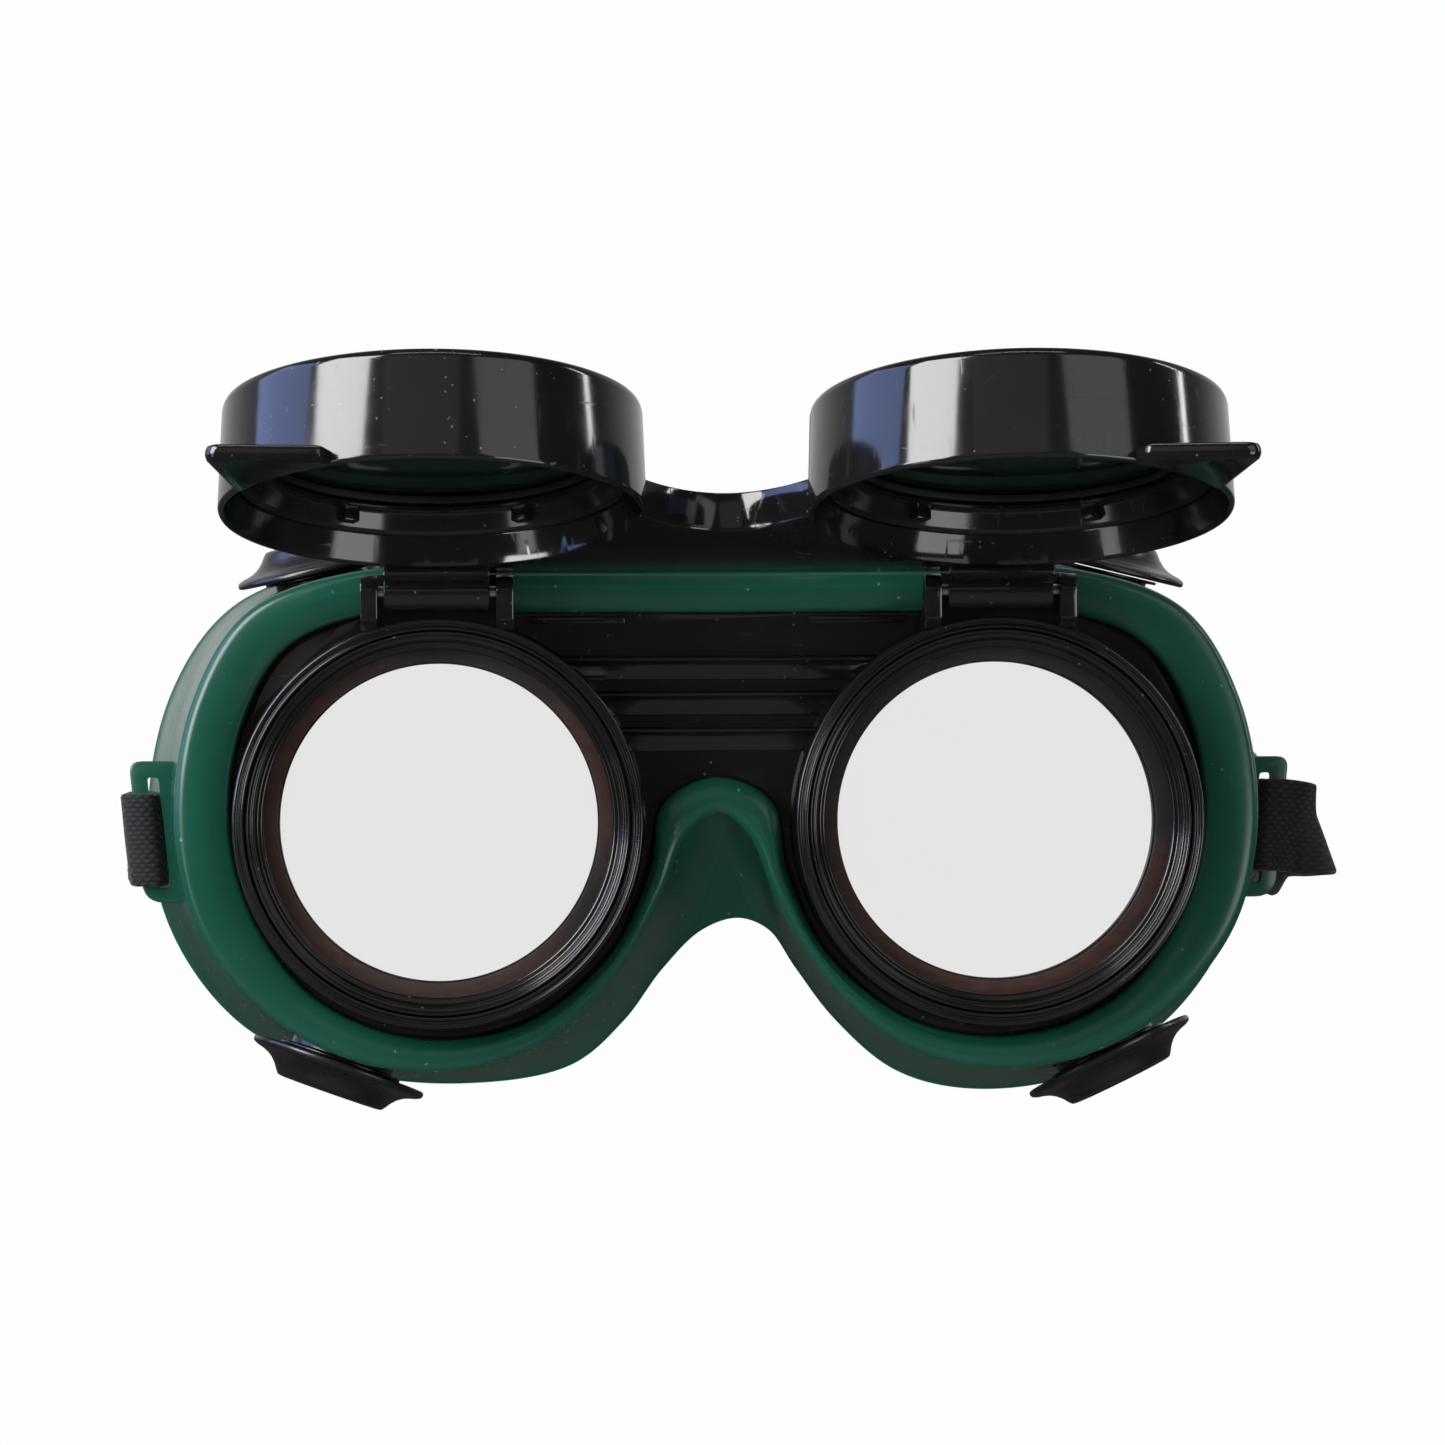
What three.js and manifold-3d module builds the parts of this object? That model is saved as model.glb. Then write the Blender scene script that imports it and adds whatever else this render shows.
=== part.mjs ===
// Welding goggles with a lift-up front, in millimetres.
// Seen from the front, +X is to the right, +Y points back towards the face and +Z is up.
// The pieces are drawn round the lens plane (y = 0, z = 0 through the lens centres). The whole
// group is then moved so that the origin lies at the middle of the face seal.

import * as THREE from "three";
import { mergeVertices } from "three/addons/utils/BufferGeometryUtils.js";
import Module from "manifold-3d";

const wasm = await Module();
wasm.setup();

// Driving dimensions
const GAP = 0.3; // clearance between pieces that touch
const SUNK = 0.5; // how far a joined piece reaches into the one it stands on
const LENS_R = 25; // standard 50 mm round lens
const LENS_X = 39.5; // half the distance between the two lenses
const SIGHT_R = 22.5; // clear opening behind a lens
const SEAL_Y = 40; // depth of the face seal's middle behind the lens plane
const LENS_FRONT_Y = -1.6;
const LENS_T = 2.5;
const GASKET_R = SIGHT_R + 0.2; // inner radius of a gasket
const GASKET_T = 1.3;
const GASKET_BACK_Y = 2.6;

const LIP_T = 2.6; // thickness of the front lip
const WALL_T = 1.6; // thickness of the soft side walls
const WALL_START_Y = 1.8; // where the rounded lip turns into the wall
const PLATE_FRONT_Y = 3.0;
const PLATE_T = 2.0;
const PLATE_TUCK = 0.15; // share of the lip's width that covers the plate's edge

const BOSS_R = 28.8; // fixed lens boss
const BOSS_BORE_R = 27.2;
const BOSS_FRONT_Y = -5.4;

const HINGE_Y = -5;
const HINGE_Z = 32.4;
const OPEN_ANGLE = 102.7; // degrees between the closed and the open front
const PIN_R = 0.85;
const PIN_HOLE_R = 1.2;
const PIN_SHORT = 0.2; // a pin ends this far inside its knuckle
const BARREL_R = 2.6;
const BARREL_L = 14.8;
const KNUCKLE_T = 2.4;
const KNUCKLE_R = 2.4;
const KNUCKLE_PLAY = 0.9; // between a barrel's end and a knuckle
const KNUCKLE_X = BARREL_L / 2 + KNUCKLE_PLAY + KNUCKLE_T / 2;

const CUP_R = 28.7; // outer radius of a cup at its open rim
const CUP_FACE_R = 28.2; // and at its front face
const CUP_H = 15.1;
const CUP_DROP = 32.4; // from the hinge axis to a cup's centre
const RIM_Y = -2.4; // the open rim lies this far in front of the hinge axis when closed
const SEAT_R = 25.4; // bore round a cup's lenses
const SKIRT_R = 26.6; // bore between the lenses and the flared skirt
const SKIRT_RIM_R = 27.8; // the skirt's inner radius at the open rim
const SKIRT_H = 4.2;
const SEAT_H = 7.3; // from the front face to the wider bore
const FLANGE_T = 1.5; // the front flange that holds the lenses in

const VENT_R = 12.9;
const VENT_NECK_R = 7.6;
const VENT_HOLE_R = 8.1;
const CUT_REACH = 6; // how far a cut goes to each side of a wall

const EAR_Y = 28;
const EAR_T = 2.5;
const SLOT_IN_X = 81.1;
const SLOT_OUT_X = 82.9;
const EAR_TIP_X = 85.2;
const EAR_ROOT_X = 78.3; // buried in the side wall
const EAR_TOP = 8.7;
const EAR_BOTTOM = -12;
const EAR_LEAN = 0.105; // how far an ear's lower end leans inwards, for each mm of height
const STRAP_W = 13.6;
const STRAP_T = 1.2;

const SEGMENTS = 40; // round a lens
const VENT_SEGMENTS = 20;
const SIDES = [
  { side: "left", s: -1 },
  { side: "right", s: 1 },
];

// Materials
function plastic(color, roughness, extra = {}) {
  return new THREE.MeshStandardMaterial({ color, roughness, metalness: 0, ...extra });
}
const GREEN_PVC = plastic(0x17433a, 0.28);
const BLACK_PLASTIC = plastic(0x141314, 0.2);
const BLACK_RUBBER = plastic(0x1b1a1c, 0.55);
const CLEAR_GLASS = plastic(0xe4e4e1, 0.05, { transparent: true, opacity: 0.3 });
const DARK_GLASS = plastic(0x0c1f16, 0.05, { transparent: true, opacity: 0.9 });
const RED_FIBRE = plastic(0x4a1f17, 0.8);
const BLACK_ELASTIC = plastic(0x2a2829, 0.9);
const STEEL = new THREE.MeshStandardMaterial({ color: 0x9a9c9e, roughness: 0.35, metalness: 1 });

// Small helpers
function mesh(name, geometry, material) {
  const made = new THREE.Mesh(geometry, material);
  made.name = name;
  return made;
}

// A solid turned about the Y axis from a closed outline of [radius, y] points.
function turned(outline, segments = SEGMENTS) {
  const points = outline.map(([r, y]) => new THREE.Vector2(r, y));
  const onAxis = points[0].x === 0 && points.at(-1).x === 0;
  if (!onAxis) points.push(points[0].clone());
  if (!onAxis && THREE.ShapeUtils.area(points) < 0) points.reverse();
  return new THREE.LatheGeometry(points, segments);
}

function disc(radius, y0, y1, segments = SEGMENTS) {
  return turned([[0, y0], [radius, y0], [radius, y1], [0, y1]], segments);
}

function washer(inner, outer, y0, y1, segments = SEGMENTS) {
  return turned([[inner, y0], [outer, y0], [outer, y1], [inner, y1]], segments);
}

function box(x0, x1, y0, y1, z0, z1) {
  const made = new THREE.BoxGeometry(x1 - x0, y1 - y0, z1 - z0);
  return made.translate((x0 + x1) / 2, (y0 + y1) / 2, (z0 + z1) / 2);
}

// A bar along X from x0 to x1 whose section is a closed outline of [y, z] points.
function bar(outline, x0, x1, holeR = 0) {
  const shape = new THREE.Shape(outline.map(([y, z]) => new THREE.Vector2(y, z)));
  if (holeR) shape.holes.push(new THREE.Path().absarc(HINGE_Y, HINGE_Z, holeR, 0, 2 * Math.PI));
  const made = new THREE.ExtrudeGeometry(shape, {
    depth: x1 - x0,
    bevelEnabled: false,
    curveSegments: 10,
  });
  return made.applyMatrix4(new THREE.Matrix4().makeBasis(
    new THREE.Vector3(0, 1, 0),
    new THREE.Vector3(0, 0, 1),
    new THREE.Vector3(1, 0, 0),
  )).translate(x0, 0, 0);
}

// A plate from y0 to y1 whose outline is a THREE.Shape drawn in X and Z.
function plate(shape, y0, y1, curveSegments = 12) {
  const made = new THREE.ExtrudeGeometry(shape, { depth: y1 - y0, bevelEnabled: false, curveSegments });
  return made.rotateX(Math.PI / 2).translate(0, y1, 0);
}

function toSolid(geometry) {
  const bare = geometry.clone();
  bare.deleteAttribute("normal");
  bare.deleteAttribute("uv");
  const merged = mergeVertices(bare, 1e-4);
  return new wasm.Manifold(new wasm.Mesh({
    numProp: 3,
    vertProperties: new Float32Array(merged.attributes.position.array),
    triVerts: new Uint32Array(merged.index.array),
  }));
}

function joined(parts, cuts = []) {
  let solid = toSolid(parts[0]);
  for (const part of parts.slice(1)) solid = solid.add(toSolid(part));
  for (const part of cuts) solid = solid.subtract(toSolid(part));
  const { vertProperties, triVerts } = solid.getMesh();
  const made = new THREE.BufferGeometry();
  made.setAttribute("position", new THREE.BufferAttribute(new Float32Array(vertProperties), 3));
  made.setIndex(new THREE.BufferAttribute(new Uint32Array(triVerts), 1));
  made.computeVertexNormals();
  return made;
}

// The mask body's outlines. Matching points of the three run from the brow's middle round the
// right-hand side to the top of the nose arch, as [x, z] or, for the rear edge, [x, z, y]. The
// lip is the same on both sides, but the soft rear edge leans to the right round the nose, so
// its left-hand points, from the nose back up to the brow, have a list of their own.
const LIP_OUTER = [
  [0, 35.7], [30, 35.8], [52, 35.4], [66.5, 29.8], [74.3, 17], [76.8, 0], [73.5, -15],
  [64.5, -26.5], [52, -33.5], [38, -35.2], [25, -31.2], [14.5, -21.6], [8, -10.5], [4.4, -2], [0, 1.2],
];
const LIP_INNER = [
  [0, 29.6], [30, 29.6], [50, 29.2], [61, 24.6], [67, 14], [68.9, 0], [66, -12.5],
  [58.3, -23.6], [48.3, -29.2], [37.5, -30.6], [26.3, -27.8], [15.1, -18.3], [9.6, -6.5], [7.9, 2.6], [0, 6.3],
];
const REAR_EDGE_RIGHT = [
  [0, 37.5, 33], [30, 38, 36], [53, 37.5, 42], [70, 31.5, 49], [80, 18.5, 54], [84.2, 0, 56],
  [80, -17, 54], [69.5, -31, 49], [54.5, -39, 43.5], [38.5, -40.5, 39], [27.5, -37.5, 37],
  [18.7, -30, 36.5], [13, -22.5, 37], [9, -16.8, 38], [4.3, -15, 38],
];
const REAR_EDGE_LEFT = [
  [-1.3, -16.8, 38], [-7.3, -22.5, 37], [-13, -30, 36.5], [-20.8, -36.5, 37], [-36.5, -39.2, 39],
  [-54, -37.6, 43.5], [-69.8, -31, 49], [-80.6, -17.2, 54], [-84.2, 0, 56], [-80.6, 18.5, 54],
  [-71, 31.5, 49], [-53, 37.5, 42], [-30, 38, 36],
];
const KEYS = LIP_OUTER.length - 1;
const STEPS_PER_KEY = 2;
const FLARE = 1.5; // how late along its depth the wall flares out

// A closed curve through the points of both sides. Its parameter counts the points.
function loop(right, left) {
  const points = [...right, ...left].map(([x, z, y = 0]) => new THREE.Vector3(x, y, z));
  const curve = new THREE.CatmullRomCurve3(points, true, "centripetal");
  return (key) => curve.getPoint(((key / (2 * KEYS)) % 1 + 1) % 1);
}
function mirrored(right) {
  return right.slice(1, -1).reverse().map(([x, z]) => [-x, z]);
}
const lipOuter = loop(LIP_OUTER, mirrored(LIP_OUTER));
const lipInner = loop(LIP_INNER, mirrored(LIP_INNER));
const rearEdge = loop(REAR_EDGE_RIGHT, REAR_EDGE_LEFT);

// A point of the outer wall at a key, from 0 at the lip to 1 at the rear edge.
function wallPoint(key, depth) {
  const front = lipOuter(key);
  const back = rearEdge(key);
  const out = depth ** FLARE;
  return new THREE.Vector3(
    front.x + (back.x - front.x) * out,
    WALL_START_Y + (back.y - WALL_START_Y) * depth,
    front.z + (back.z - front.z) * out,
  );
}

// The unit vector pointing into the mask from the wall, level with the lens plane.
function inward(key, depth) {
  const along = wallPoint(key + 0.05, depth).sub(wallPoint(key - 0.05, depth));
  return new THREE.Vector3(along.z, 0, -along.x).normalize();
}

function wallSection(key) {
  const inner = lipInner(key);
  const outer = lipOuter(key);
  const across = inner.clone().sub(outer).normalize();
  const lip = (base, shift, y) => base.clone().addScaledVector(across, shift).setY(y);
  const skin = (depth, shift) => wallPoint(key, depth).addScaledVector(inward(key, depth), shift);
  return [
    lip(inner, 0, LIP_T),
    lip(inner, 0, 0.9),
    lip(inner, -0.9, 0.1),
    lip(outer, 1.6, 0),
    lip(outer, 0.4, 0.5),
    skin(0, 0),
    skin(0.35, 0),
    skin(0.7, 0),
    skin(1, 0),
    skin(1, WALL_T),
    skin(0.7, WALL_T),
    skin(0.35, WALL_T),
    skin(0, WALL_T).setY(LIP_T),
  ];
}

// A closed skin over rings of points. With caps it is a bar, without them it joins up with itself.
function lofted(rings, capped) {
  const size = rings[0].length;
  const positions = rings.flat().flatMap((p) => [p.x, p.y, p.z]);
  const index = [];
  const spans = capped ? rings.length - 1 : rings.length;
  for (let i = 0; i < spans; i++) {
    for (let j = 0; j < size; j++) {
      const a = i * size + j;
      const b = i * size + ((j + 1) % size);
      const c = ((i + 1) % rings.length) * size + ((j + 1) % size);
      const d = ((i + 1) % rings.length) * size + j;
      index.push(a, c, b, a, d, c);
    }
  }
  const last = (rings.length - 1) * size;
  for (let j = 1; capped && j < size - 1; j++) {
    index.push(0, j, j + 1);
    index.push(last, last + j + 1, last + j);
  }
  const made = new THREE.BufferGeometry();
  made.setAttribute("position", new THREE.BufferAttribute(new Float32Array(positions), 3));
  made.setIndex(index);
  made.computeVertexNormals();
  return made;
}

// A strap ear: a flat tongue that stands out of the side wall, with rounded outer corners.
function earShape(s) {
  const shape = new THREE.Shape();
  shape.moveTo(s * EAR_ROOT_X, EAR_TOP);
  shape.lineTo(s * (EAR_TIP_X - 1.8), EAR_TOP);
  shape.quadraticCurveTo(s * EAR_TIP_X, EAR_TOP, s * EAR_TIP_X, EAR_TOP - 1.8);
  shape.lineTo(s * EAR_TIP_X, EAR_BOTTOM + 3);
  shape.quadraticCurveTo(s * EAR_TIP_X, EAR_BOTTOM, s * (EAR_TIP_X - 3), EAR_BOTTOM);
  shape.lineTo(s * EAR_ROOT_X, EAR_BOTTOM);
  return shape;
}

// How far out an ear's points are moved at a height, so that the ear follows the side wall.
function lean(z) {
  return EAR_LEAN * (z - EAR_TOP);
}

function leaning(geometry, s) {
  const slant = new THREE.Matrix4().makeShear(0, 0, 0, 0, s * EAR_LEAN, 0);
  return geometry.applyMatrix4(slant).translate(-s * EAR_LEAN * EAR_TOP, 0, 0);
}

// Where the four vents sit: the wall's key and depth, and the quarter's name.
const VENTS = [
  { name: "upper_right", key: 2.2, depth: 0.45 },
  { name: "lower_right", key: 7.7, depth: 0.45 },
  { name: "lower_left", key: 2 * KEYS - 7.9, depth: 0.34 },
  { name: "upper_left", key: 2 * KEYS - 2.2, depth: 0.45 },
];

// The place and direction of a vent: its local +Y axis points straight out of the wall.
function seatOnWall(object, key, depth) {
  const along = wallPoint(key + 0.05, depth).sub(wallPoint(key - 0.05, depth));
  const back = wallPoint(key, depth + 0.05).sub(wallPoint(key, depth - 0.05));
  const out = along.cross(back).normalize();
  object.position.copy(wallPoint(key, depth));
  object.quaternion.setFromUnitVectors(new THREE.Vector3(0, 1, 0), out);
  object.updateMatrix();
  return object;
}

function frameGeometry() {
  const rings = [];
  for (let i = 0; i < 2 * KEYS * STEPS_PER_KEY; i++) rings.push(wallSection(i / STEPS_PER_KEY));
  const parts = [lofted(rings, false)];
  const cuts = [];
  for (const { s } of SIDES) {
    const slot = [s * SLOT_IN_X, s * SLOT_OUT_X].sort((a, b) => a - b);
    const hole = box(...slot, EAR_Y - SUNK, EAR_Y + EAR_T + SUNK, EAR_BOTTOM + 2.1, EAR_TOP - 2.4);
    parts.push(leaning(plate(earShape(s), EAR_Y, EAR_Y + EAR_T, 3), s));
    cuts.push(leaning(hole, s));
  }
  for (const { key, depth } of VENTS) {
    const hole = disc(VENT_HOLE_R, -CUT_REACH, CUT_REACH, VENT_SEGMENTS);
    cuts.push(hole.applyMatrix4(seatOnWall(new THREE.Object3D(), key, depth).matrix));
  }
  return joined(parts, cuts);
}

function coverPlateGeometry() {
  const edge = [];
  const steps = 2;
  for (let i = 0; i < 2 * KEYS * steps; i++) {
    const point = lipInner(i / steps).lerp(lipOuter(i / steps), PLATE_TUCK);
    edge.push(new THREE.Vector2(point.x, point.z));
  }
  const sheet = plate(new THREE.Shape(edge), PLATE_FRONT_Y, PLATE_FRONT_Y + PLATE_T);
  const parts = [sheet];
  const cuts = [];
  for (const { s } of SIDES) {
    parts.push(disc(BOSS_R, BOSS_FRONT_Y, PLATE_FRONT_Y + SUNK).translate(s * LENS_X, 0, 0));
    cuts.push(disc(BOSS_BORE_R, -CUT_REACH, PLATE_FRONT_Y).translate(s * LENS_X, 0, 0));
    cuts.push(disc(SIGHT_R, 0, CUT_REACH).translate(s * LENS_X, 0, 0));
    parts.push(bar(HINGE_WEB, s * LENS_X - KNUCKLE_X, s * LENS_X + KNUCKLE_X));
    for (const end of [-1, 1]) {
      const x = s * LENS_X + end * KNUCKLE_X;
      parts.push(bar(knuckleOutline(), x - KNUCKLE_T / 2, x + KNUCKLE_T / 2, PIN_HOLE_R));
    }
    const pad = box(-PAD_HALF, PAD_HALF, PLATE_FRONT_Y - PAD_T, PLATE_FRONT_Y + SUNK, PAD_Z, PAD_Z + 1);
    parts.push(pad.translate(s * PAD_X, 0, 0));
  }
  for (const { z, half } of LOUVRES) parts.push(bar(louvreOutline(z), -half, half));
  return joined(parts, cuts);
}

// The two thin pads under the lip's top bar: their middle, half length, height and thickness.
const PAD_X = 19.8;
const PAD_HALF = 6.7;
const PAD_Z = 28.1;
const PAD_T = 0.5;

// The thin wall behind each hinge barrel, which rises in front of the lip from the boss.
const HINGE_WEB = [[-1.5, 27.4], [-0.4, 27.4], [-0.4, 35], [-1.5, 35]];

// The three ridges between the bosses: their height and half length.
const LOUVRES = [
  { z: 22.7, half: 22.2 },
  { z: 17.7, half: 17.2 },
  { z: 12.6, half: 14 },
];
function louvreOutline(z) {
  const back = PLATE_FRONT_Y + SUNK;
  return [[back, z - 2.8], [back, z + 1], [1.2, z + 0.6], [1.2, z - 0.2]];
}

// A hinge leg: it stands on the plate below the lip, then rises in front of it round the pin.
function knuckleOutline() {
  const top = [];
  for (let i = 0; i <= 6; i++) {
    const angle = (Math.PI * i) / 6;
    top.push([HINGE_Y + KNUCKLE_R * Math.cos(angle), HINGE_Z + KNUCKLE_R * Math.sin(angle)]);
  }
  const foot = PLATE_FRONT_Y + SUNK;
  const front = HINGE_Y + RIM_Y + GAP; // clear of the closed bridge plate
  return [
    [foot, 26.3], [foot, 29], [-0.4, 29], [-0.4, 31], ...top, [front, HINGE_Z + BRIDGE_TOP + GAP],
    [front, 28.5], [-4, 26.3],
  ];
}

// A ring that screws into a boss. Ridges step down from its front edge to the lens.
function lensRingGeometry() {
  const outer = BOSS_BORE_R - GAP;
  return turned([
    [24.5, -1.9], [24.5, -2.6], [25.3, -2.8], [25.9, -3.7], [25.9, -4.3], [26.4, -4.4], [26.4, -5.1],
    [outer, -5.1], [outer, 1.5], [25.3, 1.5], [25.3, -1.9],
  ]);
}

// The lift-up front, drawn closed round the hinge axis: a cup hangs from it below each barrel.
function cupOutline() {
  const face = RIM_Y - CUP_H;
  return [
    [SIGHT_R, face], [CUP_FACE_R - 1, face], [CUP_FACE_R, face + 1], [CUP_R, RIM_Y],
    [SKIRT_RIM_R, RIM_Y], [SKIRT_R, RIM_Y - SKIRT_H], [SKIRT_R, face + SEAT_H], [SEAT_R, face + SEAT_H],
    [SEAT_R, face + FLANGE_T], [SIGHT_R, face + FLANGE_T],
  ];
}

// The room behind a cup's lenses, out to the flared rim.
function skirtBore() {
  const floor = RIM_Y - CUP_H + SEAT_H;
  return [
    [0, floor - SUNK], [SEAT_R, floor - SUNK], [SEAT_R, floor], [SKIRT_R, floor], [SKIRT_R, RIM_Y - SKIRT_H],
    [SKIRT_RIM_R, RIM_Y], [SKIRT_RIM_R, RIM_Y + SUNK], [0, RIM_Y + SUNK],
  ];
}

// The fin that a thumb lifts, in the rim plane at the outer lower side of a cup.
const TAB_T = 2;
const BRIDGE_T = 2;
const BRIDGE_WALL = 5.4; // height of the rim along the arch
function tabShape(s) {
  const shape = new THREE.Shape();
  const at = (x, z) => [s * (LENS_X + x * CUP_R), z * CUP_R - CUP_DROP];
  shape.moveTo(...at(0.42, -0.86));
  shape.lineTo(...at(0.48, -0.99));
  shape.lineTo(...at(0.92, -1.01));
  shape.quadraticCurveTo(...at(1.01, -1.01), ...at(1.0, -0.92));
  shape.lineTo(...at(0.9, -0.43));
  shape.lineTo(...at(0.84, -0.4));
  return shape;
}

// The plate between the cups. Its lower edge is an arch, which leaves room for the nose. Heights
// are measured down from the hinge axis.
const ARCH_CROWN = -24;
const ARCH_FOOT = -31.5;
const ARCH_HALF = 11.2;
const BRIDGE_TOP = -1.2;
const BRIDGE_SHOULDER = -12;
const ARCH_WALL = 1.6;
const WEB_BACK = -0.9; // back and lower edge of the web that carries a barrel
const WEB_BOTTOM = -5.5;
function bridgeShape() {
  const shape = new THREE.Shape();
  shape.moveTo(-LENS_X, BRIDGE_TOP);
  shape.lineTo(-LENS_X, BRIDGE_SHOULDER);
  shape.lineTo(-ARCH_HALF, ARCH_FOOT);
  shape.quadraticCurveTo(-ARCH_HALF / 2, ARCH_CROWN, 0, ARCH_CROWN);
  shape.quadraticCurveTo(ARCH_HALF / 2, ARCH_CROWN, ARCH_HALF, ARCH_FOOT);
  shape.lineTo(LENS_X, BRIDGE_SHOULDER);
  shape.lineTo(LENS_X, BRIDGE_TOP);
  return shape;
}

// The rim that stands up from the bridge plate along the arch.
function archWallShape() {
  const shape = new THREE.Shape();
  const out = ARCH_HALF + 1;
  shape.moveTo(-out, ARCH_FOOT);
  shape.lineTo(-ARCH_HALF, ARCH_FOOT);
  shape.quadraticCurveTo(-ARCH_HALF / 2, ARCH_CROWN, 0, ARCH_CROWN);
  shape.quadraticCurveTo(ARCH_HALF / 2, ARCH_CROWN, ARCH_HALF, ARCH_FOOT);
  shape.lineTo(out, ARCH_FOOT);
  shape.lineTo(out, ARCH_FOOT + 2 * ARCH_WALL);
  shape.quadraticCurveTo(ARCH_HALF / 2, ARCH_CROWN + ARCH_WALL, 0, ARCH_CROWN + ARCH_WALL);
  shape.quadraticCurveTo(-ARCH_HALF / 2, ARCH_CROWN + ARCH_WALL, -out, ARCH_FOOT + 2 * ARCH_WALL);
  return shape;
}

function flipFrontGeometry() {
  const face = RIM_Y - CUP_H;
  const parts = [plate(bridgeShape(), RIM_Y - BRIDGE_T, RIM_Y)];
  parts.push(plate(archWallShape(), RIM_Y - BRIDGE_WALL, RIM_Y));
  const cuts = [];
  for (const { s } of SIDES) {
    parts.push(turned(cupOutline()).translate(s * LENS_X, 0, -CUP_DROP));
    parts.push(plate(tabShape(s), RIM_Y - TAB_T, RIM_Y));
    const barrel = new THREE.CylinderGeometry(BARREL_R, BARREL_R, BARREL_L, 20).rotateZ(Math.PI / 2);
    parts.push(barrel.translate(s * LENS_X, 0, 0));
    const x0 = s * LENS_X - BARREL_L / 2;
    parts.push(box(x0, x0 + BARREL_L, RIM_Y - BRIDGE_T, WEB_BACK, WEB_BOTTOM, BRIDGE_TOP));
    const hole = new THREE.CylinderGeometry(PIN_HOLE_R, PIN_HOLE_R, BARREL_L + 2 * SUNK, 16);
    cuts.push(hole.rotateZ(Math.PI / 2).translate(s * LENS_X, 0, 0));
    cuts.push(disc(SEAT_R, face + FLANGE_T, face + SEAT_H).translate(s * LENS_X, 0, -CUP_DROP));
    cuts.push(turned(skirtBore()).translate(s * LENS_X, 0, -CUP_DROP));
  }
  return joined(parts, cuts);
}

// A ring that screws into a cup. Its wall stands up round a thin flange, with four lugs on the
// inside to turn it by.
const RING_R = 26.2;
const RING_H = 3.4;
const RING_LIFT = 0.4; // from the step in the cup's bore to the ring
const RING_FLANGE_T = 0.7;
const LUG_ANGLES = [60, 120, 240, 300];
function shadeRingGeometry() {
  const back = RIM_Y - CUP_H + SEAT_H + RING_LIFT;
  const parts = [turned([
    [GASKET_R, back], [RING_R, back], [RING_R, back + RING_H], [24.7, back + RING_H], [24, back + RING_FLANGE_T],
    [GASKET_R, back + RING_FLANGE_T],
  ])];
  for (const angle of LUG_ANGLES) {
    const lug = box(GASKET_R + 0.1, RING_R - 1, back + RING_LIFT, back + RING_H - RING_FLANGE_T, -1.2, 1.2);
    parts.push(lug.rotateY(THREE.MathUtils.degToRad(angle)));
  }
  return joined(parts);
}

// The elastic band. Its middle line runs from the sewn end, out through the left slot and round the
// ear's bar, back and up round the head, in through the right slot and back on itself to the tail.
const STRAP_Z = -2.8;
const SLOT_Z = -1.4; // the band sits a little higher in the right-hand slot
const FOLD_TILT = 20; // the loose fold in front of the right ear stands askew
const LAYER = 1.7; // from one layer of the band to the next
const SLIDE_FROM = new THREE.Vector3(84.6, 66, -4.2);
const SLIDE_ALONG = new THREE.Vector3(-0.17, 0.93, 0.33).normalize();
const SLIDE_OUT = new THREE.Vector3(SLIDE_ALONG.y, -SLIDE_ALONG.x, 0).normalize();

function onSlide(distance, layer) {
  return SLIDE_FROM.clone().addScaledVector(SLIDE_ALONG, distance).addScaledVector(SLIDE_OUT, layer * LAYER);
}

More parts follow.
